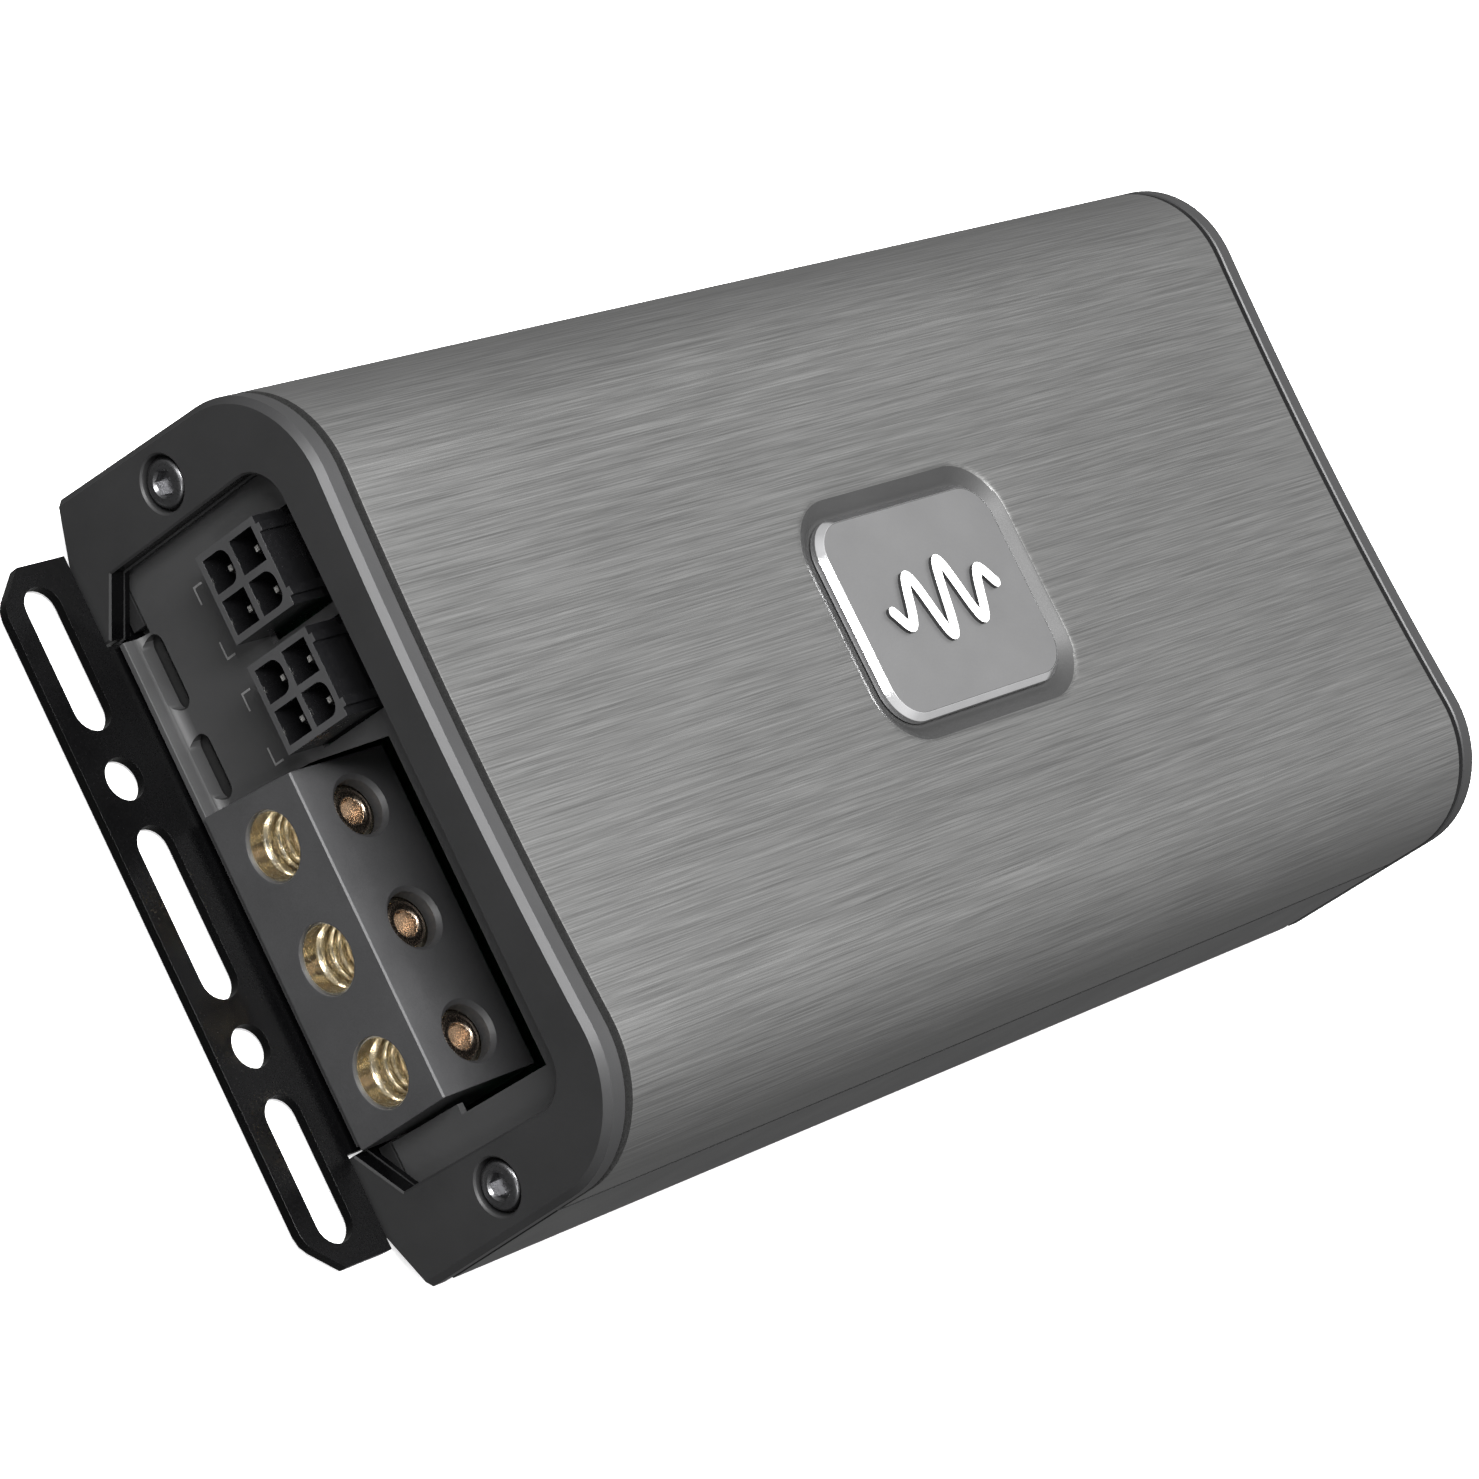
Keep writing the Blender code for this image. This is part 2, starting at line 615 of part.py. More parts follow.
def make_clamp_screw(number, y):
    axis_x = -(HALF_LENGTH - CLAMP_SETBACK)
    low, high = 12.9, 15.4
    r = CLAMP_SCREW_R
    profile = [(0.0, low), (r - 0.5, low), (r, low + 0.5), (r, high - 0.35), (r - 0.35, high),
               (0.0, high)]
    screw = turned(f"wire_clamp_screw_{number}", profile, (axis_x, y, 0.0), (0, 0, 1), 24)
    cut(screw, prism_z("hex", hexagon((axis_x, y), 2.5), high - 1.7, high + 1.0))
    return finish(screw, "brass", (axis_x, y, high))


def make_end_plate_screw(number, end, side):
    face = end * HALF_LENGTH
    y = side * FIX_Y
    head_r = 2.65
    profile = [(0.0, 0.25), (head_r - 0.55, 0.25), (head_r - 0.15, 0.45), (head_r, 0.8),
               (head_r, 1.25), (1.25, 1.25), (1.25, 13.0), (0.9, 13.4), (0.0, 13.4)]
    screw = turned(f"end_plate_screw_{number}", profile, (face, y, FIX_Z), (-end, 0, 0), 24)
    low, high = sorted((face - end * 1.15, face + end))
    cut(screw, prism_x("hex", hexagon((y, FIX_Z), 2.5), low, high))
    return finish(screw, "zinc_steel", (face, y, FIX_Z))


# ---------------------------------------------------------------- badge
def make_badge():
    half_x, half_y = BADGE_HALF
    low = RECESS_FLOOR_Z + 0.25
    top = 38.8

    def outline(inset):
        return rounded_rectangle(half_x - inset, half_y - inset, BADGE_R - inset * 0.8, 7)

    bezel = loft_z("badge_bezel", [(low, outline(0.0)), (top - 0.7, outline(0.0)),
                                   (top, outline(1.0))])
    cut(bezel, prism_z("seat", outline(1.3), top - 0.9, top + 1.0))
    finish(bezel, "chrome")
    plate = prism_z("badge_plate", outline(1.5), top - 0.85, top - 0.15)
    finish(plate, "satin_grey")
    half_run = 9.0
    swing = 4.2
    stroke = 1.15
    steps = 30
    upper = []
    lower = []
    for i in range(steps + 1):
        t = -1.0 + 2.0 * i / steps
        x = half_run * t
        fade = math.cos(0.42 * math.pi * t)
        phase = 1.5 * TAU * 0.5 * t
        y = swing * fade * math.sin(phase * 2.0)
        ahead = t + 0.001
        y_ahead = swing * math.cos(0.42 * math.pi * ahead) * math.sin(1.5 * TAU * ahead)
        slope = (y_ahead - y) / (half_run * 0.001)
        size = math.hypot(1.0, slope)
        upper.append((x - stroke * slope / size * 0.5, y + stroke / size * 0.5))
        lower.append((x + stroke * slope / size * 0.5, y - stroke / size * 0.5))
    wave = prism_z("badge_wave", lower + list(reversed(upper)), top - 0.1, top + 0.5)
    finish(wave, "white_enamel")


# ---------------------------------------------------------------- electronics
def make_boards():
    front = -(HALF_LENGTH - 17.0)
    corner = -(HALF_LENGTH - 6.4)
    back = HALF_LENGTH - 6.4
    outline = [(front, -40.5), (back, -40.5), (back, 40.5), (corner, 40.5), (corner, 9.6), (front, 9.6)]
    finish(prism_z("main_board", outline, *BOARD_Z), "board_green")
    x = -(HALF_LENGTH - 8.7)
    finish(box("speaker_board", (x, x + 1.6), (9.0, 32.0), (PART_Z, 32.5)), "board_green")


def make_choke():
    centre = Vector((-22.0, 8.0, PART_Z + 7.1))
    major, minor = 9.5, 4.0
    verts = []
    faces = []
    around, across = 28, 12
    for i in range(around):
        a = TAU * i / around
        for j in range(across):
            b = TAU * j / across
            reach = major + minor * math.cos(b)
            verts.append((centre.x + reach * math.cos(a), centre.y + reach * math.sin(a),
                          centre.z + minor * math.sin(b)))
    for i in range(around):
        for j in range(across):
            ni, nj = (i + 1) % around, (j + 1) % across
            faces.append((i * across + j, ni * across + j, ni * across + nj, i * across + nj))
    finish(build_object("choke_core", verts, faces), "ferrite")

    turns, per_turn, sides = 16, 12, 5
    wire_r = 0.75
    coil_r = minor + wire_r + 0.35
    span = TAU * 0.88
    total = turns * per_turn
    path = []
    for k in range(total + 1):
        a = span * k / total
        b = TAU * k / per_turn
        radial = Vector((math.cos(a), math.sin(a), 0.0))
        path.append(centre + radial * (major + coil_r * math.cos(b)) + Vector((0, 0, coil_r * math.sin(b))))
    verts = []
    faces = []
    for k, point in enumerate(path):
        tangent = (path[min(k + 1, total)] - path[max(k - 1, 0)]).normalized()
        a = span * k / total
        hub = centre + Vector((math.cos(a), math.sin(a), 0.0)) * major
        out = (point - hub)
        out = (out - tangent * out.dot(tangent)).normalized()
        across_dir = tangent.cross(out)
        for j in range(sides):
            c = TAU * j / sides
            verts.append(point + (out * math.cos(c) + across_dir * math.sin(c)) * wire_r)
    for k in range(total):
        for j in range(sides):
            nj = (j + 1) % sides
            low, high = k * sides, (k + 1) * sides
            faces.append((low + j, low + nj, high + nj, high + j))
    faces.append(tuple(range(sides - 1, -1, -1)))
    faces.append(tuple(range(total * sides, (total + 1) * sides)))
    finish(build_object("choke_winding", verts, faces), "copper_wire", smooth_angle=80.0)


def make_capacitors():
    profile = [(0.0, 0.0), (5.6, 0.0), (6.2, 0.6), (6.2, 2.0), (5.9, 2.4), (6.2, 2.8),
               (6.2, 19.4), (5.7, 20.0), (0.0, 20.0)]
    for number, x in enumerate((2.0, 16.0, 30.0), 1):
        can = turned(f"capacitor_{number}", profile, (x, 14.0, PART_Z), (0, 0, 1), 24)
        finish(can, "cap_sleeve")


def make_output_stage():
    for number, x in enumerate((-30.0, -12.0, 6.0), 1):
        outline = [(-35.2, PART_Z), (-30.8, PART_Z), (-30.8, 22.0), (-34.0, 22.0), (-34.0, 25.0), (-35.2, 25.0)]
        body = prism_x(f"power_transistor_{number}", outline, x - 5.0, x + 5.0)
        finish(body, "moulded_epoxy")
    bar = box("transistor_clamp_bar", (-38.0, 14.0), (-30.5, -28.0), (14.0, 20.0))
    finish(bar, "plain_aluminium")


# ---------------------------------------------------------------- input end
JACK_Y = (-26.5, -13.5)
JACK_Z = (13.0, 26.0)
JACK_LENGTH = 9.5
CONTROL_Y = (2.5, 15.5)
KNOB_Z = 25.0
SWITCH_Z = 12.0
LAMP_YZ = (27.0, 25.0)
PANEL_BACK = HALF_LENGTH - PANEL_SETBACK - PANEL_T


def make_line_inputs():
    back = PANEL_BACK - FIT
    block = box("line_input_block", (back - 14.0, back), (-33.0, -7.0), (PART_Z, 32.4))
    number = 0
    for z in JACK_Z:
        for y in JACK_Y:
            number += 1
            start = (back - 1.0, y, z)
            join(block, rod("boss", start, (1, 0, 0), 3.3, JACK_LENGTH + 0.4, 24))
            cut(block, rod("contact", (back + JACK_LENGTH, y, z), (-1, 0, 0), 1.6, 8.0, 16))
            shell = tube(f"line_input_shell_{number}", (back + 0.25, y, z), (1, 0, 0),
                         4.2, 3.6, JACK_LENGTH - 0.25, 28)
            finish(shell, "nickel")
    finish(block, "connector_plastic")


def make_gain_control(letter, y):
    back = PANEL_BACK - FIT
    body = box(f"gain_control_{letter}", (back - 8.0, back), (y - 4.8, y + 4.8), (KNOB_Z - 4.8, KNOB_Z + 4.8))
    cut(body, rod("bearing", (back + 1.0, y, KNOB_Z), (-1, 0, 0), 1.8, 6.0, 20))
    finish(body, "switch_plastic")
    start = back - 4.5
    length = HALF_LENGTH + 1.0 - start
    profile = [(0.0, 0.0), (1.5, 0.0), (1.5, 4.75), (3.2, 4.75), (3.2, length - 0.4),
               (2.8, length), (0.0, length)]
    knob = turned(f"gain_knob_{letter}", profile, (start, y, KNOB_Z), (1, 0, 0), 28)
    cut(knob, box("slot", (start + length - 1.2, start + length + 1.0), (y - 0.5, y + 0.5),
                  (KNOB_Z - 5.0, KNOB_Z + 1.6)))
    finish(knob, "switch_plastic", (start + length, y, KNOB_Z))


def make_filter_switch(letter, y):
    back = PANEL_BACK - FIT
    frame = box(f"filter_switch_frame_{letter}", (back - 6.0, back), (y - 6.5, y + 6.5),
                (SWITCH_Z - 3.2, SWITCH_Z + 3.2))
    cut(frame, box("channel", (back - 4.0, back + 1.0), (y - 5.2, y + 5.2), (SWITCH_Z - 1.7, SWITCH_Z + 1.7)))
    finish(frame, "plain_aluminium")
    nub_front = HALF_LENGTH - 0.6
    outline = [(back - 3.7, y - 2.9), (back - 1.2, y - 2.9), (back - 1.2, y - 1.4), (nub_front, y - 1.4),
               (nub_front, y + 1.4), (back - 1.2, y + 1.4), (back - 1.2, y + 2.9), (back - 3.7, y + 2.9)]
    slider = prism_z(f"filter_switch_slider_{letter}", outline, SWITCH_Z - 1.4, SWITCH_Z + 1.4)
    finish(slider, "switch_plastic", (nub_front, y, SWITCH_Z))


def make_lamp():
    start = PANEL_BACK - 4.0
    profile = [(0.0, 0.0), (1.9, 0.0), (1.9, 1.0), (1.5, 1.0), (1.5, 5.2), (1.25, 6.0), (0.7, 6.5), (0.0, 6.65)]
    lamp = turned("power_lamp", profile, (start, LAMP_YZ[0], LAMP_YZ[1]), (1, 0, 0), 20)
    finish(lamp, "lamp_blue")


# ---------------------------------------------------------------- assembly
def connector_panel_openings():
    openings = []
    for y, gap in zip(SOCKET_Y, SOCKET_GAPS):
        reach = SOCKET_SIZE / 2 + 0.35
        low_y = y - SOCKET_SIZE / 2 - gap
        openings.append(rectangle(low_y, y + reach, SOCKET_Z - reach, SOCKET_Z + reach + 0.5))
    openings.append(list(BLOCK_OPENING))
    openings.append(vent(23.6))
    openings.append(vent(12.9, 3.6))
    return openings


def input_panel_openings():
    openings = []
    for z in JACK_Z:
        for y in JACK_Y:
            openings.append(circle((y, z), 4.6, 28))
    for y in CONTROL_Y:
        openings.append(circle((y, KNOB_Z), 3.6, 24))
        openings.append(rectangle(y - 3.8, y + 3.8, SWITCH_Z - 1.8, SWITCH_Z + 1.8))
    openings.append(circle(LAMP_YZ, 1.8, 20))
    openings.append(vent(25.5))
    return openings


def main():
    clear_scene()
    make_cover()
    make_tray()
    make_mounting_plate()
    make_end_plate("connector_end_plate", -1)
    make_end_plate("input_end_plate", 1)
    make_gasket("connector_gasket", -1)
    make_gasket("input_gasket", 1)
    make_panel("connector_panel", -1, connector_panel_openings())
    make_panel("input_panel", 1, input_panel_openings())
    for letter, y in zip("ab", SOCKET_Y):
        make_speaker_socket(f"speaker_socket_{letter}", y)
        make_speaker_pins(letter, y)
    make_terminal_block()
    for number, y in enumerate(WIRE_Y, 1):
        make_power_terminal(number, y)
        make_clamp_screw(number, y)
    number = 0
    for end in (-1, 1):
        for side in (1, -1):
            number += 1
            make_end_plate_screw(number, end, side)
    make_badge()
    make_boards()
    make_choke()
    make_capacitors()
    make_output_stage()
    make_line_inputs()
    for letter, y in zip("ab", CONTROL_Y):
        make_gain_control(letter, y)
        make_filter_switch(letter, y)
    make_lamp()


main()
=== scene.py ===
import json
import math

import bmesh
import bpy
from mathutils import Matrix, Vector


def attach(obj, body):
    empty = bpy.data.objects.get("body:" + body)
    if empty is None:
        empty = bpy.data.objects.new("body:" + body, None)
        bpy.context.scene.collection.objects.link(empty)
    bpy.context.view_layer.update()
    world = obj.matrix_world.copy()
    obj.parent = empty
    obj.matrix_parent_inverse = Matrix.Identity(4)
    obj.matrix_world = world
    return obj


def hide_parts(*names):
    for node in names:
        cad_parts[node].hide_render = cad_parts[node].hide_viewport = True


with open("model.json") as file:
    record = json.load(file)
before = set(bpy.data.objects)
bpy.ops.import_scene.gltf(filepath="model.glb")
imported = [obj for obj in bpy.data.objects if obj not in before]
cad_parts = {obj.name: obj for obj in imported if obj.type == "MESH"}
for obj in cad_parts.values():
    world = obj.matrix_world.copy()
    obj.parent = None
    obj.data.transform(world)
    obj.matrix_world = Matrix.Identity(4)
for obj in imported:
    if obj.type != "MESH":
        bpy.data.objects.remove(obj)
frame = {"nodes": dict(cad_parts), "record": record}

MM = 0.001
TAU = 2.0 * math.pi
NODES = frame["nodes"]
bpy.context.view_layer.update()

# ---- steps round a full turn
BORE_STEPS = 56             # bores seen close up
ROUND_STEPS = 48
MEDIUM_STEPS = 40
SMALL_STEPS = 32

# ---- sizes, in millimetres
# body section
HALF_LENGTH = 77.7          # to the outer faces of the end plates
HALF_WIDTH = 44.0
CORNER_Z = 3.85             # lower corner of the side
SIDE_LEAN = 0.044           # the sides lean in by this angle, in radians
CORNER_R = 12.8
SHOULDER_Z = 26.5           # centre height of the upper corner round
DISH_ANGLE = 0.0592         # slope of the dish where it meets the corner round, in radians
DISH_EDGE_Y = 28.0
DISH_LOW_Z = 37.0           # the whole dish lies above this
CORNER_STEPS = 18

# end plates
PLATE_T = 2.6
JOINT_GAP = 1.0
PLATE_BEVEL = 0.7
EDGE_BREAK = 0.22           # small machined edge break
LEG_TIP_Y = 28.8
LEG_TIP_Z = 2.2
LEG_HEEL_Y = 34.0
WINDOW_Y = 34.4
WINDOW_SILL_Z = 6.4
WINDOW_TOP_Z = 33.05
WINDOW_R = 4.5
WINDOW_RELIEF = 0.22        # the window is this much smaller at the back of the plate
FIX_Y = 38.6
FIX_Z = 18.8
COUNTERBORE_R = 2.98
COUNTERBORE_DEPTH = 1.5
SCREW_BORE_R = 1.6
HEX_FLATS = 2.5

# top cover, recess and badge
COVER_T = 2.2
COVER_LOW_Z = 22.3
COVER_HALF = HALF_LENGTH - PLATE_T - JOINT_GAP
COVER_EDGE_BREAK = 0.03
PATCH_X = 20.0              # part of the cover skin that holds the recess
PATCH_Y = 17.0
SKIN_X = (COVER_HALF - 0.25, 71.0, 62.0, 52.0, 42.0, 32.0, 25.0)
SKIN_Y = (DISH_EDGE_Y, 25.0, 22.0, 19.5)
RECESS_FLOOR_Z = 37.12
RECESS_HALF = (15.4, 12.3)
RECESS_FLOOR_R = 5.0
RECESS_SPREAD = 1.45        # run of the sloping wall for each millimetre of rise
RECESS_KNEE = 0.16
RECESS_RINGS = (3.6, 2.9, 2.5, 2.25, 2.05, 1.9, 1.78, 1.65, 1.45, 1.2, 0.9, 0.6, 0.35, 0.18,
                0.05, -0.05, -0.16, -0.3, -0.5, -0.9, -2.0, -4.0)
RECESS_SHADE_REACH = 1.9    # the wall is shaded this far out from the floor outline
RECESS_SHADE_TOP_Z = 38.35
BADGE_HALF = (15.0, 11.9)
BADGE_R = 4.5
BADGE_TOP_Z = 38.8
BADGE_LOW_Z = RECESS_FLOOR_Z + 0.25
BADGE_BEVEL = 0.66
WAVE_HALF_RUN = 9.0
WAVE_SWING = 4.2
WAVE_STROKE = 1.3
WAVE_HEIGHT = 0.42
WAVE_STEPS = 220

# panels in the end windows
PANEL_SETBACK = 3.6
PANEL_T = 0.8
PANEL_HALF_WIDTH = 35.2
PANEL_Z = (4.25, 35.0)
PANEL_FOOT_Z = 4.6
LIP_REACH = 0.9             # from the end plate face back to the lip
LIP_Y = 28.1
LIP_Z = (2.1, 2.9)
LIP_BEND_R = 1.4
LIP_BEND_STEPS = 14
VENT_Z = 4.2
VENT_R = 1.22
CONNECTOR_VENTS = ((23.6, 4.2), (12.9, 3.6))
INPUT_VENT = (25.5, 4.2)
MARK_WIDTH = 0.22
MARK_FOOT = 2.0
MARK_STEM = 1.25
BRACKET_MARKS = (("a", 29.2, 21.0, 12.9), ("b", 17.4, 9.3, 12.6))

# speaker sockets
SOCKET_SIZE = 9.7
SOCKET_Y = (25.2, 13.1)
SOCKET_Z = 24.9
SOCKET_PROUD = 1.5
SOCKET_DEPTH = 9.8
SOCKET_GAPS = (0.75, 0.25)  # clearance in the panel on the -Y side of each socket
SOCKET_CLEARANCE = 0.35
RIB_OFFSET = 3.5
RIB_HALF_WIDTH = 0.45
RIB_HEIGHT = 0.5
CELL = 3.7
CELL_PITCH = 4.5
CELL_DEPTH = 8.3
KEY_R = 1.3
PIN_HOLE_HALF = 0.8

# power terminal block
BLOCK_FRONT = 0.2
BLOCK_DEPTH = 13.4
BLOCK_CHAMFER = 0.18
BLOCK_Z = (3.3, 17.3)
BLOCK_Y_LOW = (-28.8, 8.3)
BLOCK_Y_HIGH = (-28.4, 7.25)
# panel opening round the block, clear above it so that a driver reaches the clamp screws
BLOCK_OPENING = ((-29.2, 3.0), (8.6, 3.0), (7.55, 17.4), (5.4, 28.55), (-30.3, 28.55),
                 (-30.3, 15.0), (-29.2, 15.0))
BLOCK_STEP = 4.5            # the undercut starts this far behind the end plate face
BLOCK_STEP_Z = 4.25
POCKET_HALF_WIDTH = 5.0
POCKET_Z = (5.8, 15.3)
TERMINAL_LENGTH = 10.9
TERMINAL_HALF_WIDTH = 4.7
TERMINAL_Z = (6.1, 15.0)
SLEEVE_REACH = 1.9
WIRE_Y = (1.93, -10.56, -23.05)
WIRE_Z = 10.6
WIRE_HOLE_R = 3.75
WIRE_BORE_R = 3.1
BORE_RINGS = 6
BORE_RING_PITCH = 1.1
CLAMP_SETBACK = 7.2
CLAMP_X = -(HALF_LENGTH - CLAMP_SETBACK)
CLAMP_WELL_R = 3.4
CLAMP_WELL_LOW_Z = 14.0
CLAMP_SCREW_R = 2.45
CLAMP_LOW_Z = 12.9
CLAMP_TOP_Z = 16.0

# mounting plate
BASE_HALF_LENGTH = 88.3
BASE_HALF_WIDTH = 38.8
BASE_NECK_Y = 28.4
BASE_Z = (0.6, 1.8)
BASE_CORNER = 3.8
SLOT_X = HALF_LENGTH + 5.73
SLOT_R = 2.35
SLOT_MID_Y = 9.6
SLOT_SIDE_Y = (20.3, 36.4)
HOLE_Y = 14.85

# input end
JACK_Y = (-26.5, -13.5)
JACK_Z = (13.0, 26.0)
JACK_HOLE_R = 4.6
CONTROL_Y = (2.5, 15.5)
KNOB_Z = 25.0
KNOB_R = 3.2
KNOB_CROWN_R = 2.7
KNOB_HOLE_R = 3.6
KNOB_RIBS = 24
KNOB_RIB_DEPTH = 0.16
SWITCH_Z = 12.0
SWITCH_OPENING = (3.8, 1.8)
LAMP_YZ = (27.0, 25.0)
LAMP_HOLE_R = 1.8
INPUT_PANEL_X = HALF_LENGTH - PANEL_SETBACK
INPUT_BACK_X = INPUT_PANEL_X - PANEL_T - 0.3

# inside faces of the tray, which lie in shade
SHADED_X = HALF_LENGTH - PLATE_T - 1.5
SHADED_Y = 38.0
SHADED_Z = 2.2


# ---- materials
SMOOTHEST = 0.03            # least roughness that a variation may reach


class Look:
    """One procedural material: noise layers feed its colour, roughness and bump."""

    def __init__(self, name, roughness, metallic=0.0, sockets=None):
        self.material = bpy.data.materials.new(name)
        self.material.use_nodes = True
        self.tree = self.material.node_tree
        self.shader = self.tree.nodes["Principled BSDF"]
        self.shader.inputs["Roughness"].default_value = roughness
        self.shader.inputs["Metallic"].default_value = metallic
        for socket, value in (sockets or {}).items():
            self.shader.inputs[socket].default_value = value
        self.place = self.tree.nodes.new("ShaderNodeTexCoord").outputs["Object"]

    def link(self, source, target):
        self.tree.links.new(source, target)

    def noise(self, scale, stretch=(1.0, 1.0, 1.0), detail=3.0, rough=0.55):
        """Noise value; scale is in features per metre before the stretch."""
        mapping = self.tree.nodes.new("ShaderNodeMapping")
        mapping.inputs["Scale"].default_value = stretch
        self.link(self.place, mapping.inputs["Vector"])
        node = self.tree.nodes.new("ShaderNodeTexNoise")
        node.inputs["Scale"].default_value = scale
        node.inputs["Detail"].default_value = detail
        node.inputs["Roughness"].default_value = rough
        self.link(mapping.outputs["Vector"], node.inputs["Vector"])
        return node.outputs["Fac"]

    def spread(self, value, low, high, out_low=0.0, out_high=1.0):
        node = self.tree.nodes.new("ShaderNodeMapRange")
        node.inputs["From Min"].default_value = low
        node.inputs["From Max"].default_value = high
        node.inputs["To Min"].default_value = out_low
        node.inputs["To Max"].default_value = out_high
        self.link(value, node.inputs["Value"])
        return node.outputs["Result"]

    def math(self, operation, a, b):
        node = self.tree.nodes.new("ShaderNodeMath")
        node.operation = operation
        for socket, value in zip(node.inputs, (a, b)):
            if isinstance(value, (int, float)):
                socket.default_value = value
            else:
                self.link(value, socket)
        return node.outputs["Value"]

    def blend(self, value, dark, light):
        ramp = self.tree.nodes.new("ShaderNodeValToRGB")
        ramp.color_ramp.elements[0].color = (*dark, 1.0)
        ramp.color_ramp.elements[1].color = (*light, 1.0)
        self.link(value, ramp.inputs["Fac"])
        self.link(ramp.outputs["Color"], self.shader.inputs["Base Color"])

    def mix(self, *layers):
        """Sum of (value, weight) pairs."""
        total = None
        for value, weight in layers:
            part = self.math("MULTIPLY", value, weight)
            total = part if total is None else self.math("ADD", total, part)
        return total

    def tone(self, value, low, high, colour, contrast):
        """From a darker to a lighter tint of the colour as value goes from low to high."""
        dark, light = (tuple(min(1.0, c * (1.0 + step)) for c in colour)
                       for step in (-contrast, contrast))
        self.blend(self.spread(value, low, high), dark, light)

    def roughen(self, value, low, high):
        self.link(self.spread(value, 0.3, 0.7, low, high), self.shader.inputs["Roughness"])

    def bump(self, value, strength, depth_mm):
        node = self.tree.nodes.new("ShaderNodeBump")
        node.inputs["Strength"].default_value = strength
        node.inputs["Distance"].default_value = depth_mm * MM
        self.link(value, node.inputs["Height"])
        self.link(node.outputs["Normal"], self.shader.inputs["Normal"])


LOOKS = {}


def brushed(name, colour, roughness, metallic, contrast):
    """Long hairlines along X over a soft cloudiness."""
    look = Look(name, roughness, metallic)
    fine = look.noise(1.0, (80.0, 6400.0, 6400.0), 4.0, 0.62)
    broad = look.noise(1.0, (36.0, 1900.0, 1900.0), 3.0, 0.6)
    cloud = look.noise(22.0, detail=2.0)
    mixed = look.mix((fine, 0.68), (broad, 0.22), (cloud, 0.10))
    look.tone(mixed, 0.36, 0.64, colour, contrast)
    look.roughen(mixed, roughness - 0.05, roughness + 0.07)
    look.bump(fine, 0.20, 0.015)
    LOOKS[name] = look.material


def grained(name, colour, roughness, metallic, grain_mm, contrast, depth_mm, strength,
            sockets=None):
    """Fine even grain, with soft larger patches in colour and gloss."""
    look = Look(name, roughness, metallic, sockets)
    fine = look.noise(1.0 / (grain_mm * MM), detail=3.0)
    patch = look.noise(90.0, detail=3.0)
    mixed = look.mix((fine, 0.45), (patch, 0.55))
    look.tone(mixed, 0.35, 0.65, colour, contrast)
    look.roughen(mixed, max(SMOOTHEST, roughness - 0.05), roughness + 0.06)
    look.bump(fine, strength, depth_mm)
    LOOKS[name] = look.material


def turned_metal(name, colour, roughness, contrast):
    """Machined metal: tight tool marks and slight staining."""
    look = Look(name, roughness, 1.0)
    marks = look.noise(1.0, (9000.0, 4200.0, 4200.0), 2.0)
    stain = look.noise(260.0, detail=3.0)
    look.tone(stain, 0.35, 0.65, colour, contrast)
    look.roughen(marks, max(SMOOTHEST, roughness - 0.05), roughness + 0.09)
    look.bump(marks, 0.03, 0.002)
    LOOKS[name] = look.material


GRAINED = (
    # name, colour, roughness, metallic, grain in mm, contrast, bump depth in mm, bump strength
    ("anodised_black", (0.029, 0.029, 0.0296), 0.46, 0.45, 0.12, 0.10, 0.008, 0.25),
    ("satin_charcoal", (0.062, 0.062, 0.063), 0.38, 0.75, 0.14, 0.10, 0.006, 0.25),
    ("powder_black", (0.0008, 0.0008, 0.0009), 0.26, 0.0, 0.35, 0.20, 0.006, 0.2,
     {"Specular IOR Level": 0.2}),
    ("gasket_black", (0.004, 0.004, 0.004), 0.85, 0.0, 0.30, 0.25, 0.03, 0.35),
    ("panel_paint", (0.029, 0.029, 0.0295), 0.60, 0.0, 0.20, 0.10, 0.010, 0.3),
    ("mark_print", (0.15, 0.15, 0.15), 0.55, 0.0, 0.20, 0.10, 0.004, 0.2),
    # darker look for the walls of the badge recess: painted shade
    ("recess_painted_shade", (0.036, 0.036, 0.036), 0.56, 0.60, 0.15, 0.10, 0.006, 0.25),
    ("satin_grey", (0.138, 0.138, 0.139), 0.36, 0.70, 0.10, 0.06, 0.006, 0.3),
    ("white_enamel", (0.84, 0.84, 0.83), 0.28, 0.0, 0.5, 0.03, 0.006, 0.2),
    ("block_plastic", (0.033, 0.033, 0.034), 0.50, 0.0, 0.20, 0.16, 0.03, 0.5),
    ("connector_plastic", (0.003, 0.003, 0.0033), 0.24, 0.0, 0.40, 0.20, 0.004, 0.15),
    ("switch_plastic", (0.018, 0.018, 0.019), 0.44, 0.0, 0.25, 0.2, 0.02, 0.35),
    ("lamp_blue", (0.08, 0.20, 0.62), 0.14, 0.0, 0.8, 0.08, 0.004, 0.2,
     {"Transmission Weight": 0.35}),
    ("board_green", (0.012, 0.060, 0.030), 0.42, 0.0, 0.6, 0.30, 0.03, 0.35),
    ("ferrite", (0.040, 0.038, 0.036), 0.70, 0.0, 0.3, 0.25, 0.04, 0.35),
    ("cap_sleeve", (0.020, 0.022, 0.030), 0.36, 0.0, 0.8, 0.15, 0.01, 0.35),
    ("moulded_epoxy", (0.020, 0.020, 0.021), 0.55, 0.0, 0.2, 0.2, 0.03, 0.35),
)
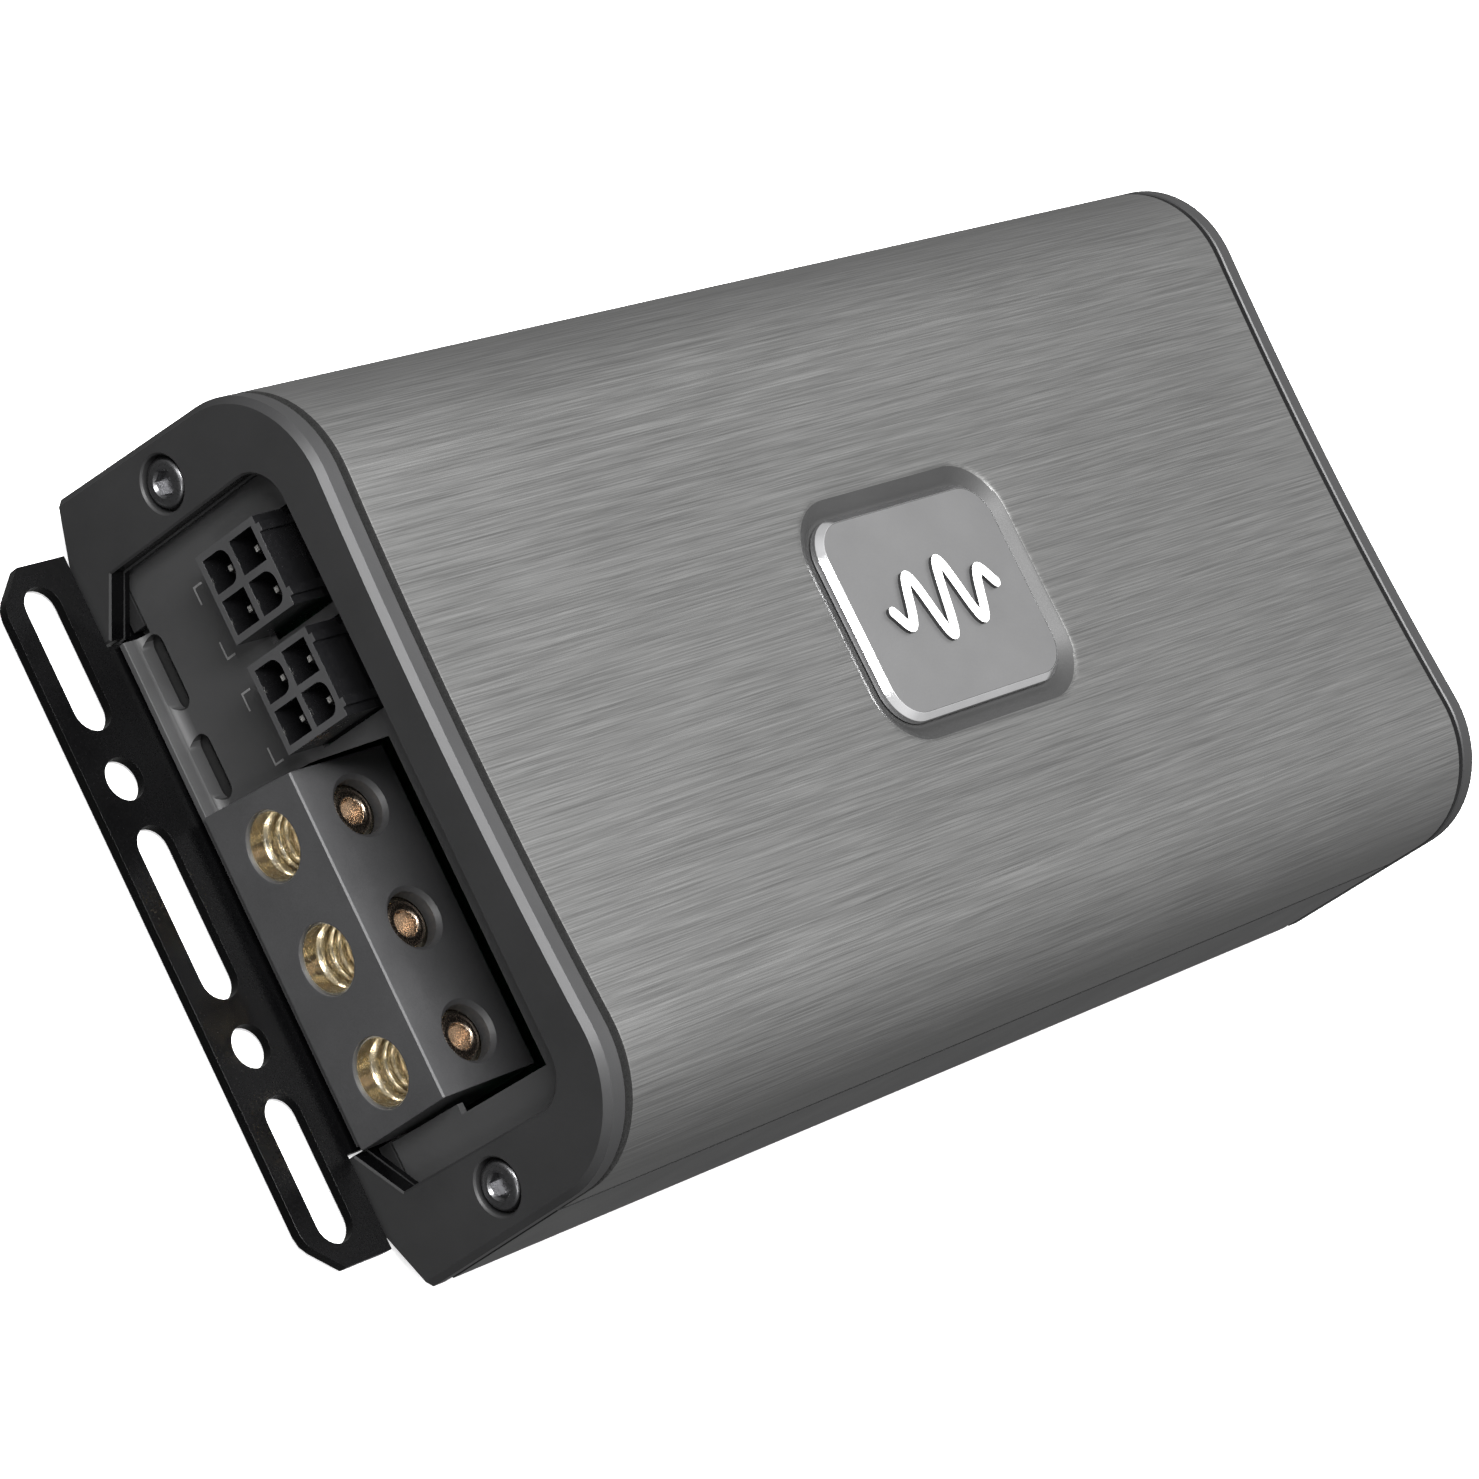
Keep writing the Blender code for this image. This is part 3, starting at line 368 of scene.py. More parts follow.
TURNED = (
    # name, colour, roughness, contrast
    ("brass", (0.88, 0.81, 0.66), 0.19, 0.06),
    ("warm_brass", (0.66, 0.54, 0.43), 0.22, 0.08),
    ("tinned_contact", (0.72, 0.71, 0.68), 0.24, 0.10),
    ("zinc_steel", (0.17, 0.17, 0.175), 0.30, 0.08),
    ("chrome", (0.80, 0.80, 0.81), 0.07, 0.03),
    ("nickel", (0.62, 0.59, 0.53), 0.17, 0.10),
    ("copper_wire", (0.64, 0.27, 0.11), 0.28, 0.10),
    ("plain_aluminium", (0.62, 0.62, 0.63), 0.34, 0.10),
)
brushed("brushed_gunmetal", (0.118, 0.118, 0.1166), roughness=0.40, metallic=0.80, contrast=0.30)
for row in GRAINED:
    grained(*row)
for row in TURNED:
    turned_metal(*row)


# ---- mesh helpers
def new_object(name, verts, faces):
    mesh = bpy.data.meshes.new(name)
    bm = bmesh.new()
    made = [bm.verts.new([c * MM for c in v]) for v in verts]
    for face in faces:
        bm.faces.new([made[i] for i in face])
    bmesh.ops.recalc_face_normals(bm, faces=bm.faces)
    bm.to_mesh(mesh)
    bm.free()
    obj = bpy.data.objects.new(name, mesh)
    bpy.context.scene.collection.objects.link(obj)
    return obj


def loft(name, sections, to_point, closed=False):
    """Joins outlines at stations along one axis; closed joins the last to the first."""
    verts = []
    faces = []
    count = len(sections[0][1])
    for station, outline in sections:
        verts.extend(to_point(station, a, b) for a, b in outline)
    rings = len(sections)
    for ring in range(rings if closed else rings - 1):
        low = ring * count
        high = ((ring + 1) % rings) * count
        for i in range(count):
            j = (i + 1) % count
            faces.append((low + i, low + j, high + j, high + i))
    if not closed:
        faces.append(tuple(range(count - 1, -1, -1)))
        faces.append(tuple(range((rings - 1) * count, rings * count)))
    return new_object(name, verts, faces)


def loft_x(name, sections):
    return loft(name, sections, lambda s, a, b: (s, a, b))


def loft_z(name, sections, closed=False):
    return loft(name, sections, lambda s, a, b: (a, b, s), closed)


def prism_x(name, outline, low, high):
    return loft_x(name, [(low, outline), (high, outline)])


def prism_z(name, outline, low, high):
    return loft_z(name, [(low, outline), (high, outline)])


def prism_y(name, outline, low, high):
    return loft(name, [(low, outline), (high, outline)], lambda s, a, b: (a, s, b))


def rectangle(a_low, a_high, b_low, b_high):
    return [(a_low, b_low), (a_high, b_low), (a_high, b_high), (a_low, b_high)]


def box(name, x, y, z):
    return prism_z(name, rectangle(x[0], x[1], y[0], y[1]), z[0], z[1])


def arc(centre, radius, start, end, steps):
    points = []
    for i in range(steps + 1):
        angle = start + (end - start) * i / steps
        points.append((centre[0] + radius * math.cos(angle),
                       centre[1] + radius * math.sin(angle)))
    return points


def circle(centre, radius, steps):
    return arc(centre, radius, 0.0, TAU * (steps - 1) / steps, steps - 1)


def hexagon(centre, flats):
    radius = flats / math.sqrt(3.0)
    turns = [TAU * i / 6 for i in range(6)]
    return [(centre[0] + radius * math.cos(a), centre[1] + radius * math.sin(a)) for a in turns]


def rounded_rectangle(half_a, half_b, radius, steps):
    points = []
    for sign_a, sign_b, turn in ((1, 1, 0.0), (-1, 1, 0.25), (-1, -1, 0.5), (1, -1, 0.75)):
        middle = (sign_a * (half_a - radius), sign_b * (half_b - radius))
        points.extend(arc(middle, radius, turn * TAU, (turn + 0.25) * TAU, steps))
    return points


def slot_outline(centre, half_run, radius):
    """Obround running along the second coordinate."""
    top = (centre[0], centre[1] + half_run)
    bottom = (centre[0], centre[1] - half_run)
    return arc(top, radius, 0.0, math.pi, 12) + arc(bottom, radius, math.pi, TAU, 12)


def turned(name, profile, origin, axis, segments=ROUND_STEPS):
    """Revolves (radius, height) pairs; a first or last radius of zero closes on the axis."""
    turn = Vector((0, 0, 1)).rotation_difference(Vector(axis).normalized()).to_matrix()
    base = Vector(origin)
    verts = []
    rings = []
    for radius, height in profile:
        if radius == 0.0:
            rings.append([len(verts)])
            verts.append(base + turn @ Vector((0, 0, height)))
            continue
        rings.append(list(range(len(verts), len(verts) + segments)))
        for i in range(segments):
            a = TAU * i / segments
            point = Vector((radius * math.cos(a), radius * math.sin(a), height))
            verts.append(base + turn @ point)
    pairs = list(zip(rings, rings[1:]))
    if len(rings[0]) > 1 and len(rings[-1]) > 1:
        pairs.append((rings[-1], rings[0]))
    faces = []
    for low, high in pairs:
        for i in range(segments):
            j = (i + 1) % segments
            if len(low) == 1:
                faces.append((low[0], high[j], high[i]))
            elif len(high) == 1:
                faces.append((low[i], low[j], high[0]))
            else:
                faces.append((low[i], low[j], high[j], high[i]))
    return new_object(name, verts, faces)


def rod(name, origin, axis, radius, length, segments=ROUND_STEPS):
    return turned(name, [(0.0, 0.0), (radius, 0.0), (radius, length), (0.0, length)],
                  origin, axis, segments)


def combine(target, tools, operation="DIFFERENCE"):
    """Cuts the tools from the target, or joins them to it, and removes them."""
    for tool in tools:
        modifier = target.modifiers.new("combine", "BOOLEAN")
        modifier.operation = operation
        modifier.solver = "EXACT"
        modifier.object = tool
        graph = bpy.context.evaluated_depsgraph_get()
        mesh = bpy.data.meshes.new_from_object(target.evaluated_get(graph))
        target.modifiers.clear()
        target.data = mesh
        bpy.data.objects.remove(tool, do_unlink=True)


def soften(obj, width_mm, angle=30.0):
    """Rounds the sharp edges and applies the rounding."""
    mesh = obj.data
    bm = bmesh.new()
    bm.from_mesh(mesh)
    bmesh.ops.remove_doubles(bm, verts=bm.verts, dist=0.002 * MM)
    bmesh.ops.dissolve_limit(bm, angle_limit=0.002, verts=bm.verts, edges=bm.edges)
    bm.to_mesh(mesh)
    bm.free()
    bevel = obj.modifiers.new("bevel", "BEVEL")
    bevel.width = width_mm * MM
    bevel.segments = 2
    bevel.limit_method = "ANGLE"
    bevel.angle_limit = math.radians(angle)
    bevel.harden_normals = False
    bevel.use_clamp_overlap = True
    graph = bpy.context.evaluated_depsgraph_get()
    obj.data = bpy.data.meshes.new_from_object(obj.evaluated_get(graph))
    obj.modifiers.clear()


def dress(obj, slot, body="chassis", replaces=(), smooth_angle=35.0, look=None):
    """Shades a new piece, gives it its finish and mounts it on its body."""
    mesh = obj.data
    mesh.name = obj.name
    mesh.materials.clear()
    mesh.materials.append(LOOKS[look or slot])
    mesh.shade_smooth()
    mesh.set_sharp_from_angle(angle=math.radians(smooth_angle))
    weighted = obj.modifiers.new("weighted", "WEIGHTED_NORMAL")
    weighted.keep_sharp = True
    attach(obj, body)
    if replaces:
        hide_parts(*replaces)


BOX_FACES = ((0, 1, 2, 3), (7, 6, 5, 4), (0, 4, 5, 1), (1, 5, 6, 2), (2, 6, 7, 3), (3, 7, 4, 0))


def printed_marks(name, outlines, x_low, x_high):
    """Thin four-cornered marks lying on a panel, as one mesh."""
    verts = []
    faces = []
    for outline in outlines:
        base = len(verts)
        verts += [(x, y, z) for x in (x_low, x_high) for y, z in outline]
        faces += [tuple(base + k for k in face) for face in BOX_FACES]
    return new_object(name, verts, faces)


def paint_faces(obj, look, chosen):
    """Gives the faces picked by chosen(centre in mm, normal) a second material, used for a
    second finish and for painted shade.
    """
    obj.data.materials.append(LOOKS[look])
    for face in obj.data.polygons:
        if chosen(face.center / MM, face.normal):
            face.material_index = 1


def node_box(node):
    """Low and high corner of a CAD node along each axis, in mm."""
    points = [v.co / MM for v in NODES[node].data.vertices]
    return [(min(p[k] for p in points), max(p[k] for p in points)) for k in range(3)]


# ---- body section
def side_y(z, inset=0.0):
    return HALF_WIDTH - math.tan(SIDE_LEAN) * (z - CORNER_Z) - inset / math.cos(SIDE_LEAN)


CORNER_Y = side_y(SHOULDER_Z, CORNER_R)
DISH_R = (CORNER_Y - CORNER_R * math.sin(DISH_ANGLE)) / math.sin(DISH_ANGLE)
DISH_Z = SHOULDER_Z + (CORNER_R + DISH_R) * math.cos(DISH_ANGLE)


def dish_z(y, inset=0.0):
    """Height of the dished top at y."""
    reach = DISH_R + inset
    return DISH_Z - math.sqrt(reach * reach - y * y)


def arch(z_low, inset, dish_ys, corner_steps):
    """Section from the +Y side at z_low, over the top, to the -Y side."""
    over = math.pi / 2 + DISH_ANGLE
    half = [(side_y(z_low, inset), z_low)]
    half += arc((CORNER_Y, SHOULDER_Z), CORNER_R - inset, SIDE_LEAN, over, corner_steps)
    middle = [(y, dish_z(y, inset)) for y in dish_ys]
    return half + middle + [(-y, z) for y, z in reversed(half)]


EVEN_DISH = [DISH_EDGE_Y - 2 * DISH_EDGE_Y * i / 28 for i in range(29)]


# ---- top cover
def recess_distance(x, y):
    """Signed distance to the outline of the recess floor, negative inside."""
    dx = abs(x) - (RECESS_HALF[0] - RECESS_FLOOR_R)
    dy = abs(y) - (RECESS_HALF[1] - RECESS_FLOOR_R)
    outside = math.hypot(max(dx, 0.0), max(dy, 0.0))
    return outside + min(max(dx, dy), 0.0) - RECESS_FLOOR_R


def ease(value, low, high, soft):
    """Clamp between low and high with rounded knees of width soft."""
    def knee(v):
        return (v + math.sqrt(v * v + soft * soft)) / 2.0
    return high - knee(high - (low + knee(value - low)))


def recess_z(x, y):
    """The dished top with the sloping walls and flat floor of the recess in it."""
    top = dish_z(y)
    wall = RECESS_FLOOR_Z + recess_distance(x, y) / RECESS_SPREAD
    return min(top, ease(wall, RECESS_FLOOR_Z, top, RECESS_KNEE))


def cover_stations():
    """Stations along the cover and across its dish, closer together in the recess patch."""
    patch_x = [-PATCH_X + PATCH_X * 2 * i / 40 for i in range(41)]
    patch_y = [PATCH_Y - PATCH_Y * 2 * i / 34 for i in range(35)]
    along = [-COVER_HALF] + [-x for x in SKIN_X] + patch_x + list(SKIN_X[::-1]) + [COVER_HALF]
    across = list(SKIN_Y) + patch_y + [-y for y in SKIN_Y[::-1]]
    return along, across, patch_y


def lay_skin(verts, faces, xs, ys, patch_y):
    """Outer skin as a grid with the patch left open; returns its vertex numbers."""
    full = arch(COVER_LOW_Z, 0.0, ys, CORNER_STEPS)
    tight = arch(COVER_LOW_Z, COVER_EDGE_BREAK, ys, CORNER_STEPS)
    first = full.index((patch_y[0], dish_z(patch_y[0])))
    rows = range(first, first + len(patch_y))
    grid = {}
    for i, x in enumerate(xs):
        section = tight if i in (0, len(xs) - 1) else full
        for j, (y, z) in enumerate(section):
            if abs(x) < PATCH_X and j in rows and abs(y) < PATCH_Y - 0.01:
                continue
            grid[i, j] = len(verts)
            verts.append((x, y, z))
    for i in range(len(xs) - 1):
        for j in range(len(full) - 1):
            mid_x = (xs[i] + xs[i + 1]) / 2
            mid_y = (full[j][0] + full[j + 1][0]) / 2
            on_top = full[j][1] > DISH_LOW_Z
            if abs(mid_x) < PATCH_X and abs(mid_y) < PATCH_Y and on_top:
                continue
            corners = [(i, j), (i + 1, j), (i + 1, j + 1), (i, j + 1)]
            faces.append(tuple(grid[c] for c in corners))
    return grid, rows


def patch_rim(grid, xs, rows):
    """Vertex numbers round the open patch, in order."""
    lo_i, hi_i = xs.index(-PATCH_X), xs.index(PATCH_X)
    lo_j, hi_j = rows[0], rows[-1]
    rim = [(i, lo_j) for i in range(lo_i, hi_i)] + [(hi_i, j) for j in range(lo_j, hi_j)]
    rim += [(i, hi_j) for i in range(hi_i, lo_i, -1)]
    rim += [(lo_i, j) for j in range(hi_j, lo_j, -1)]
    return [grid[c] for c in rim]


def share_of_way(ax, ay, offset):
    """Share of the way out to (ax, ay) where the recess floor's outline is offset away."""
    low, high = 0.0, 1.0
    for _ in range(34):
        mid = (low + high) / 2
        if recess_distance(ax * mid, ay * mid) < offset:
            low = mid
        else:
            high = mid
    return low


def lay_recess(verts, faces, ring):
    """Rings of quads from the rim of the patch in to the middle of the recess floor."""
    anchors = [verts[k] for k in ring]
    for offset in RECESS_RINGS:
        inner_ring = []
        for ax, ay, _ in anchors:
            share = share_of_way(ax, ay, offset)
            x, y = ax * share, ay * share
            inner_ring.append(len(verts))
            verts.append((x, y, recess_z(x, y)))
        for k in range(len(ring)):
            n = (k + 1) % len(ring)
            faces.append((ring[k], ring[n], inner_ring[n], inner_ring[k]))
        ring = inner_ring
    middle = len(verts)
    verts.append((0.0, 0.0, RECESS_FLOOR_Z))
    for k in range(len(ring)):
        faces.append((ring[k], ring[(k + 1) % len(ring)], middle))


def close_underside(verts, faces, grid, xs, ys):
    """Inner skin, end faces and lower edges of the cover."""
    inner = arch(COVER_LOW_Z, COVER_T, ys, CORNER_STEPS)
    under = {}
    for end, x in ((0, -COVER_HALF), (1, COVER_HALF)):
        for j, (y, z) in enumerate(inner):
            under[end, j] = len(verts)
            verts.append((x, y, z))
    last = len(xs) - 1
    for j in range(len(inner) - 1):
        faces.append((under[0, j], under[1, j], under[1, j + 1], under[0, j + 1]))
        faces.append((grid[0, j], grid[0, j + 1], under[0, j + 1], under[0, j]))
        faces.append((grid[last, j], under[1, j], under[1, j + 1], grid[last, j + 1]))
    for j in (0, len(inner) - 1):
        rail = [grid[i, j] for i in range(len(xs))]
        faces.append(tuple(rail) + (under[1, j], under[0, j]))


def in_recess(at, normal):
    near = recess_distance(at.x, at.y) < RECESS_SHADE_REACH
    return near and at.z < RECESS_SHADE_TOP_Z and normal.z > 0.2


def make_cover():
    """Brushed skin with the badge recess sunk into it."""
    verts = []
    faces = []
    xs, ys, patch_y = cover_stations()
    grid, rows = lay_skin(verts, faces, xs, ys, patch_y)
    lay_recess(verts, faces, patch_rim(grid, xs, rows))
    close_underside(verts, faces, grid, xs, ys)
    cover = new_object("cover_skin", verts, faces)
    dress(cover, "brushed_gunmetal", replaces=("top_cover",), smooth_angle=40.0)
    # the walls of the recess take a darker material: painted shade
    paint_faces(cover, "recess_painted_shade", in_recess)


# ---- end plates
def end_plate_outline(inset, window_grow):
    outer = arch(CORNER_Z, inset, EVEN_DISH, 20)
    window_y = WINDOW_Y + window_grow
    top_z = WINDOW_TOP_Z + window_grow
    radius = WINDOW_R + window_grow
    centre_y, centre_z = window_y - radius, top_z - radius
    tip_y = LEG_TIP_Y + window_grow
    tip_z = LEG_TIP_Z - window_grow * 0.3
    left_foot = [(-LEG_HEEL_Y, 0.0), (-tip_y, 0.0), (-tip_y, tip_z)]
    window = [(-window_y, WINDOW_SILL_Z)]
    window += arc((-centre_y, centre_z), radius, math.pi, math.pi / 2, 12)
    window += arc((centre_y, centre_z), radius, math.pi / 2, 0.0, 12)
    window += [(window_y, WINDOW_SILL_Z)]
    right_foot = [(tip_y, tip_z), (tip_y, 0.0), (LEG_HEEL_Y, 0.0)]
    return outer + left_foot + window + right_foot


def make_end_plate(node, name, end):
    face = end * HALF_LENGTH
    sections = [
        (face, end_plate_outline(PLATE_BEVEL, EDGE_BREAK)),
        (face - end * EDGE_BREAK, end_plate_outline(PLATE_BEVEL - EDGE_BREAK, 0.0)),
        (face - end * PLATE_BEVEL, end_plate_outline(0.0, 0.0)),
        (face - end * 1.9, end_plate_outline(0.0, 0.0)),
        (face - end * 1.95, end_plate_outline(0.0, -WINDOW_RELIEF)),
        (face - end * (PLATE_T - 0.15), end_plate_outline(0.0, -WINDOW_RELIEF)),
        (face - end * PLATE_T, end_plate_outline(0.15, -WINDOW_RELIEF)),
    ]
    plate = loft_x(name, sections)
    tools = []
    for side in (-1, 1):
        profile = [(0.0, 0.0), (COUNTERBORE_R + 1.2, 0.0), (COUNTERBORE_R, 1.2),
                   (COUNTERBORE_R, 1.0 + COUNTERBORE_DEPTH), (0.0, 1.0 + COUNTERBORE_DEPTH)]
        start = (face + end, side * FIX_Y, FIX_Z)
        tools.append(turned("bore", profile, start, (-end, 0, 0), BORE_STEPS))
        tools.append(rod("bore", start, (-end, 0, 0), SCREW_BORE_R, 5.0, SMALL_STEPS))
    combine(plate, tools)
    dress(plate, "anodised_black", replaces=(node,), smooth_angle=28.0)

    def on_shaded_window_wall(at, normal):
        inside = abs(at.y) < WINDOW_Y + 0.3 and at.z < WINDOW_TOP_Z + 0.3
        return inside and abs(normal.x) < 0.5

    # the walls inside the window are painted near-black: painted shade
    paint_faces(plate, "powder_black", on_shaded_window_wall)


def make_end_plate_screw(number, end, side):
    """Low rounded head with a hexagon socket, on a plain shank."""
    face = end * HALF_LENGTH
    y = side * FIX_Y
    profile = [(0.0, 0.22), (2.05, 0.22), (2.35, 0.30), (2.55, 0.48), (2.64, 0.75),
               (2.64, 1.45), (1.3, 1.45), (1.3, 13.0), (0.9, 13.4), (0.0, 13.4)]
    screw = turned(f"fixing_screw_{number}", profile, (face, y, FIX_Z), (-end, 0, 0))
    low, high = sorted((face - end * 1.2, face + end))
    combine(screw, [prism_x("hex", hexagon((y, FIX_Z), HEX_FLATS), low, high)])
    lead = [(0.0, -0.6), (2.22, -0.6), (1.3, 0.5), (0.0, 0.5)]
    combine(screw, [turned("lead", lead, (face, y, FIX_Z), (-end, 0, 0), SMALL_STEPS)])
    dress(screw, "zinc_steel", replaces=(f"end_plate_screw_{number}",))


# ---- mounting plate
def make_mounting_plate():
    """Sheet with clipped corners, notched for the end plate legs, slotted at both flanges."""
    notch_out, notch_in = HALF_LENGTH + 0.3, HALF_LENGTH - PLATE_T - 0.3
    quarter = [(notch_in, BASE_HALF_WIDTH), (notch_in, BASE_NECK_Y), (notch_out, BASE_NECK_Y),
               (notch_out, BASE_HALF_WIDTH), (BASE_HALF_LENGTH - BASE_CORNER, BASE_HALF_WIDTH),
               (BASE_HALF_LENGTH - 0.9, BASE_HALF_WIDTH - BASE_CORNER + 1.0),
               (BASE_HALF_LENGTH - 0.25, BASE_HALF_WIDTH - BASE_CORNER + 0.1),
               (BASE_HALF_LENGTH, BASE_HALF_WIDTH - BASE_CORNER - 1.0)]
    right = quarter + [(x, -y) for x, y in reversed(quarter)]
    left = [(-x, -y) for x, y in right]
    plate = prism_z("base_sheet", right + left, *BASE_Z)
    side_mid = sum(SLOT_SIDE_Y) / 2
    side_run = (SLOT_SIDE_Y[1] - SLOT_SIDE_Y[0]) / 2 - SLOT_R
    tools = []
    for end in (-1, 1):
        x = end * SLOT_X
        middle_slot = slot_outline((x, 0.0), SLOT_MID_Y - SLOT_R, SLOT_R)
        tools.append(prism_z("slot", middle_slot, -2.0, 4.0))
        for side in (-1, 1):
            middle = (x, side * side_mid)
            tools.append(prism_z("slot", slot_outline(middle, side_run, SLOT_R), -2.0, 4.0))
            hole = circle((x, side * HOLE_Y), SLOT_R, SMALL_STEPS)
            tools.append(prism_z("hole", hole, -2.0, 4.0))
    combine(plate, tools)
    soften(plate, 0.28)
    dress(plate, "powder_black", replaces=("mounting_plate",))


# ---- connector end
def socket_cell(row, column, cy, cz):
    """Square cell, or one with two rounded upper corners that keys its plug."""
    reach = CELL / 2
    if row == column:
        return rectangle(cy - reach, cy + reach, cz - reach, cz + reach)
    top = cz + reach - KEY_R
    cell = [(cy - reach, cz - reach), (cy + reach, cz - reach)]
    cell += arc((cy + reach - KEY_R, top), KEY_R, 0.0, TAU / 4, 6)
    cell += arc((cy - reach + KEY_R, top), KEY_R, TAU / 4, TAU / 2, 6)
    return cell


def make_socket(letter, y):
    """Housing with four cells and two guide ribs on its upper side."""
    half = SOCKET_SIZE / 2
    front = -(HALF_LENGTH + SOCKET_PROUD)
    outline = [(half, -half), (half, half)]
    for middle in (RIB_OFFSET, -RIB_OFFSET):
        left, right = middle - RIB_HALF_WIDTH, middle + RIB_HALF_WIDTH
        outline += [(right, half), (right, half + RIB_HEIGHT)]
        outline += [(left, half + RIB_HEIGHT), (left, half)]
    outline += [(-half, half), (-half, -half)]
    body = prism_x(f"socket_housing_{letter}", [(y + a, SOCKET_Z + b) for a, b in outline],
                   front, front + SOCKET_DEPTH)
    tools = []
    for row in (-1, 1):
        for column in (-1, 1):
            cy, cz = y + column * CELL_PITCH / 2, SOCKET_Z + row * CELL_PITCH / 2
            cell = socket_cell(row, column, cy, cz)
            tools.append(prism_x("cell", cell, front - 1.0, front + CELL_DEPTH))
            hole = rectangle(cy - PIN_HOLE_HALF, cy + PIN_HOLE_HALF,
                             cz - PIN_HOLE_HALF, cz + PIN_HOLE_HALF)
            tools.append(prism_x("hole", hole, front - 1.0, front + SOCKET_DEPTH + 1.0))
    combine(body, tools)
    soften(body, 0.09)
    dress(body, "connector_plastic", replaces=(f"speaker_socket_{letter}",))
    paint_faces(body, "block_plastic",
                lambda at, normal: normal.x < -0.6 and at.x < front + 0.3)


def vent(centre_y, half_run):
    """Outline of a round-ended slot low on a panel, running along Y."""
    return [(y, z) for z, y in slot_outline((VENT_Z, centre_y), half_run - VENT_R, VENT_R)]


def make_panel(node, name, end, openings):
    """Sheet closing an end window, bent forward at its foot into a lip."""
    face = end * (HALF_LENGTH - PANEL_SETBACK)
    back = face - end * PANEL_T
    lip = end * (HALF_LENGTH - LIP_REACH)
    low, high = LIP_Z
    section = [(lip - end * 0.12, low), (lip, low + 0.12), (lip, high - 0.15),
               (lip - end * 0.05, high - 0.05), (lip - end * 0.15, high)]
    for i in range(LIP_BEND_STEPS + 1):
        a = i / LIP_BEND_STEPS * math.pi / 2
        out, up = LIP_BEND_R * (1 - math.sin(a)), LIP_BEND_R * (1 - math.cos(a))
        section.append((face + end * out, high + up))
    section += [(face, PANEL_FOOT_Z), (back, PANEL_FOOT_Z), (back, low)]
    panel = prism_y(name, section, -LIP_Y, LIP_Y)
    wall = box("wall", sorted((face, back)), (-PANEL_HALF_WIDTH, PANEL_HALF_WIDTH), PANEL_Z)
    combine(panel, [wall], "UNION")
    near, far = sorted((face + end * (LIP_BEND_R + 0.2), back - end))
    combine(panel, [prism_x("opening", outline, near, far) for outline in openings])
    dress(panel, "anodised_black", replaces=(node,), look="panel_paint")

    def on_shaded_vent_wall(at, normal):
        behind_face = 0.0 < end * (face + end * 0.02 - at.x)
        in_vent = high + 0.05 < at.z < VENT_Z + VENT_R + 0.05
        return abs(normal.x) < 0.5 and behind_face and in_vent

    # the walls of the vents are painted near-black: painted shade, there is no gasket there
    paint_faces(panel, "gasket_black", on_shaded_vent_wall)


def make_panels():
    half = SOCKET_SIZE / 2
    reach = half + SOCKET_CLEARANCE
    connectors = []
    for y, gap in zip(SOCKET_Y, SOCKET_GAPS):
        connectors.append(rectangle(y - half - gap, y + reach,
                                    SOCKET_Z - reach, SOCKET_Z + reach + RIB_HEIGHT))
    connectors.append(list(BLOCK_OPENING))
    connectors += [vent(*place) for place in CONNECTOR_VENTS]
    make_panel("connector_panel", "connector_face", -1, connectors)
    controls = [circle((y, z), JACK_HOLE_R, ROUND_STEPS) for z in JACK_Z for y in JACK_Y]
    half_y, half_z = SWITCH_OPENING
    for y in CONTROL_Y:
        controls.append(circle((y, KNOB_Z), KNOB_HOLE_R, MEDIUM_STEPS))
        controls.append(rectangle(y - half_y, y + half_y, SWITCH_Z - half_z, SWITCH_Z + half_z))
    controls += [circle(LAMP_YZ, LAMP_HOLE_R, SMALL_STEPS), vent(*INPUT_VENT)]
    make_panel("input_panel", "input_face", 1, controls)


def make_terminal_block():
    """Housing with three wire holes in front, three screw wells on top and pockets behind."""
    front = -(HALF_LENGTH - BLOCK_FRONT)
    back = front + BLOCK_DEPTH
    rows = []
    for z, (y_low, y_high) in ((BLOCK_Z[0], BLOCK_Y_LOW), (BLOCK_Z[1], BLOCK_Y_HIGH)):
        rows.append((z, rectangle(front, back, y_low, y_high)))
    block = loft_z("terminal_housing", rows)
    step = -(HALF_LENGTH - BLOCK_STEP)
    tools = [box("undercut", (step, back + 1.0), (-40.0, 20.0), (0.0, BLOCK_STEP_Z))]
    top = BLOCK_Z[1]
    corner = [(front - 1.0, top + 1.0), (front - 1.0, top - BLOCK_CHAMFER - 1.0),
              (front + BLOCK_CHAMFER + 1.0, top + 1.0)]
    tools.append(prism_y("chamfer", corner, -40.0, 20.0))
    mouth = [(0.0, 0.0), (WIRE_HOLE_R, 0.0), (WIRE_HOLE_R, 4.0), (0.0, 4.0)]
    rim = top - CLAMP_WELL_LOW_Z
    well = [(0.0, 0.0), (CLAMP_WELL_R - 0.4, 0.0), (CLAMP_WELL_R - 0.4, rim - 0.45),
            (CLAMP_WELL_R + 1.05, rim + 1.0), (0.0, rim + 1.0)]
    for y in WIRE_Y:
        pocket_y = (y - POCKET_HALF_WIDTH, y + POCKET_HALF_WIDTH)
        tools.append(box("pocket", (front + 2.0, back + 1.0), pocket_y, POCKET_Z))
        tools.append(turned("mouth", mouth, (front - 1.0, y, WIRE_Z), (1, 0, 0), BORE_STEPS))
        tools.append(turned("well", well, (CLAMP_X, y, CLAMP_WELL_LOW_Z), (0, 0, 1), BORE_STEPS))
    combine(block, tools)
    soften(block, 0.14, angle=50.0)
    dress(block, "block_plastic", replaces=("power_terminal_block",))


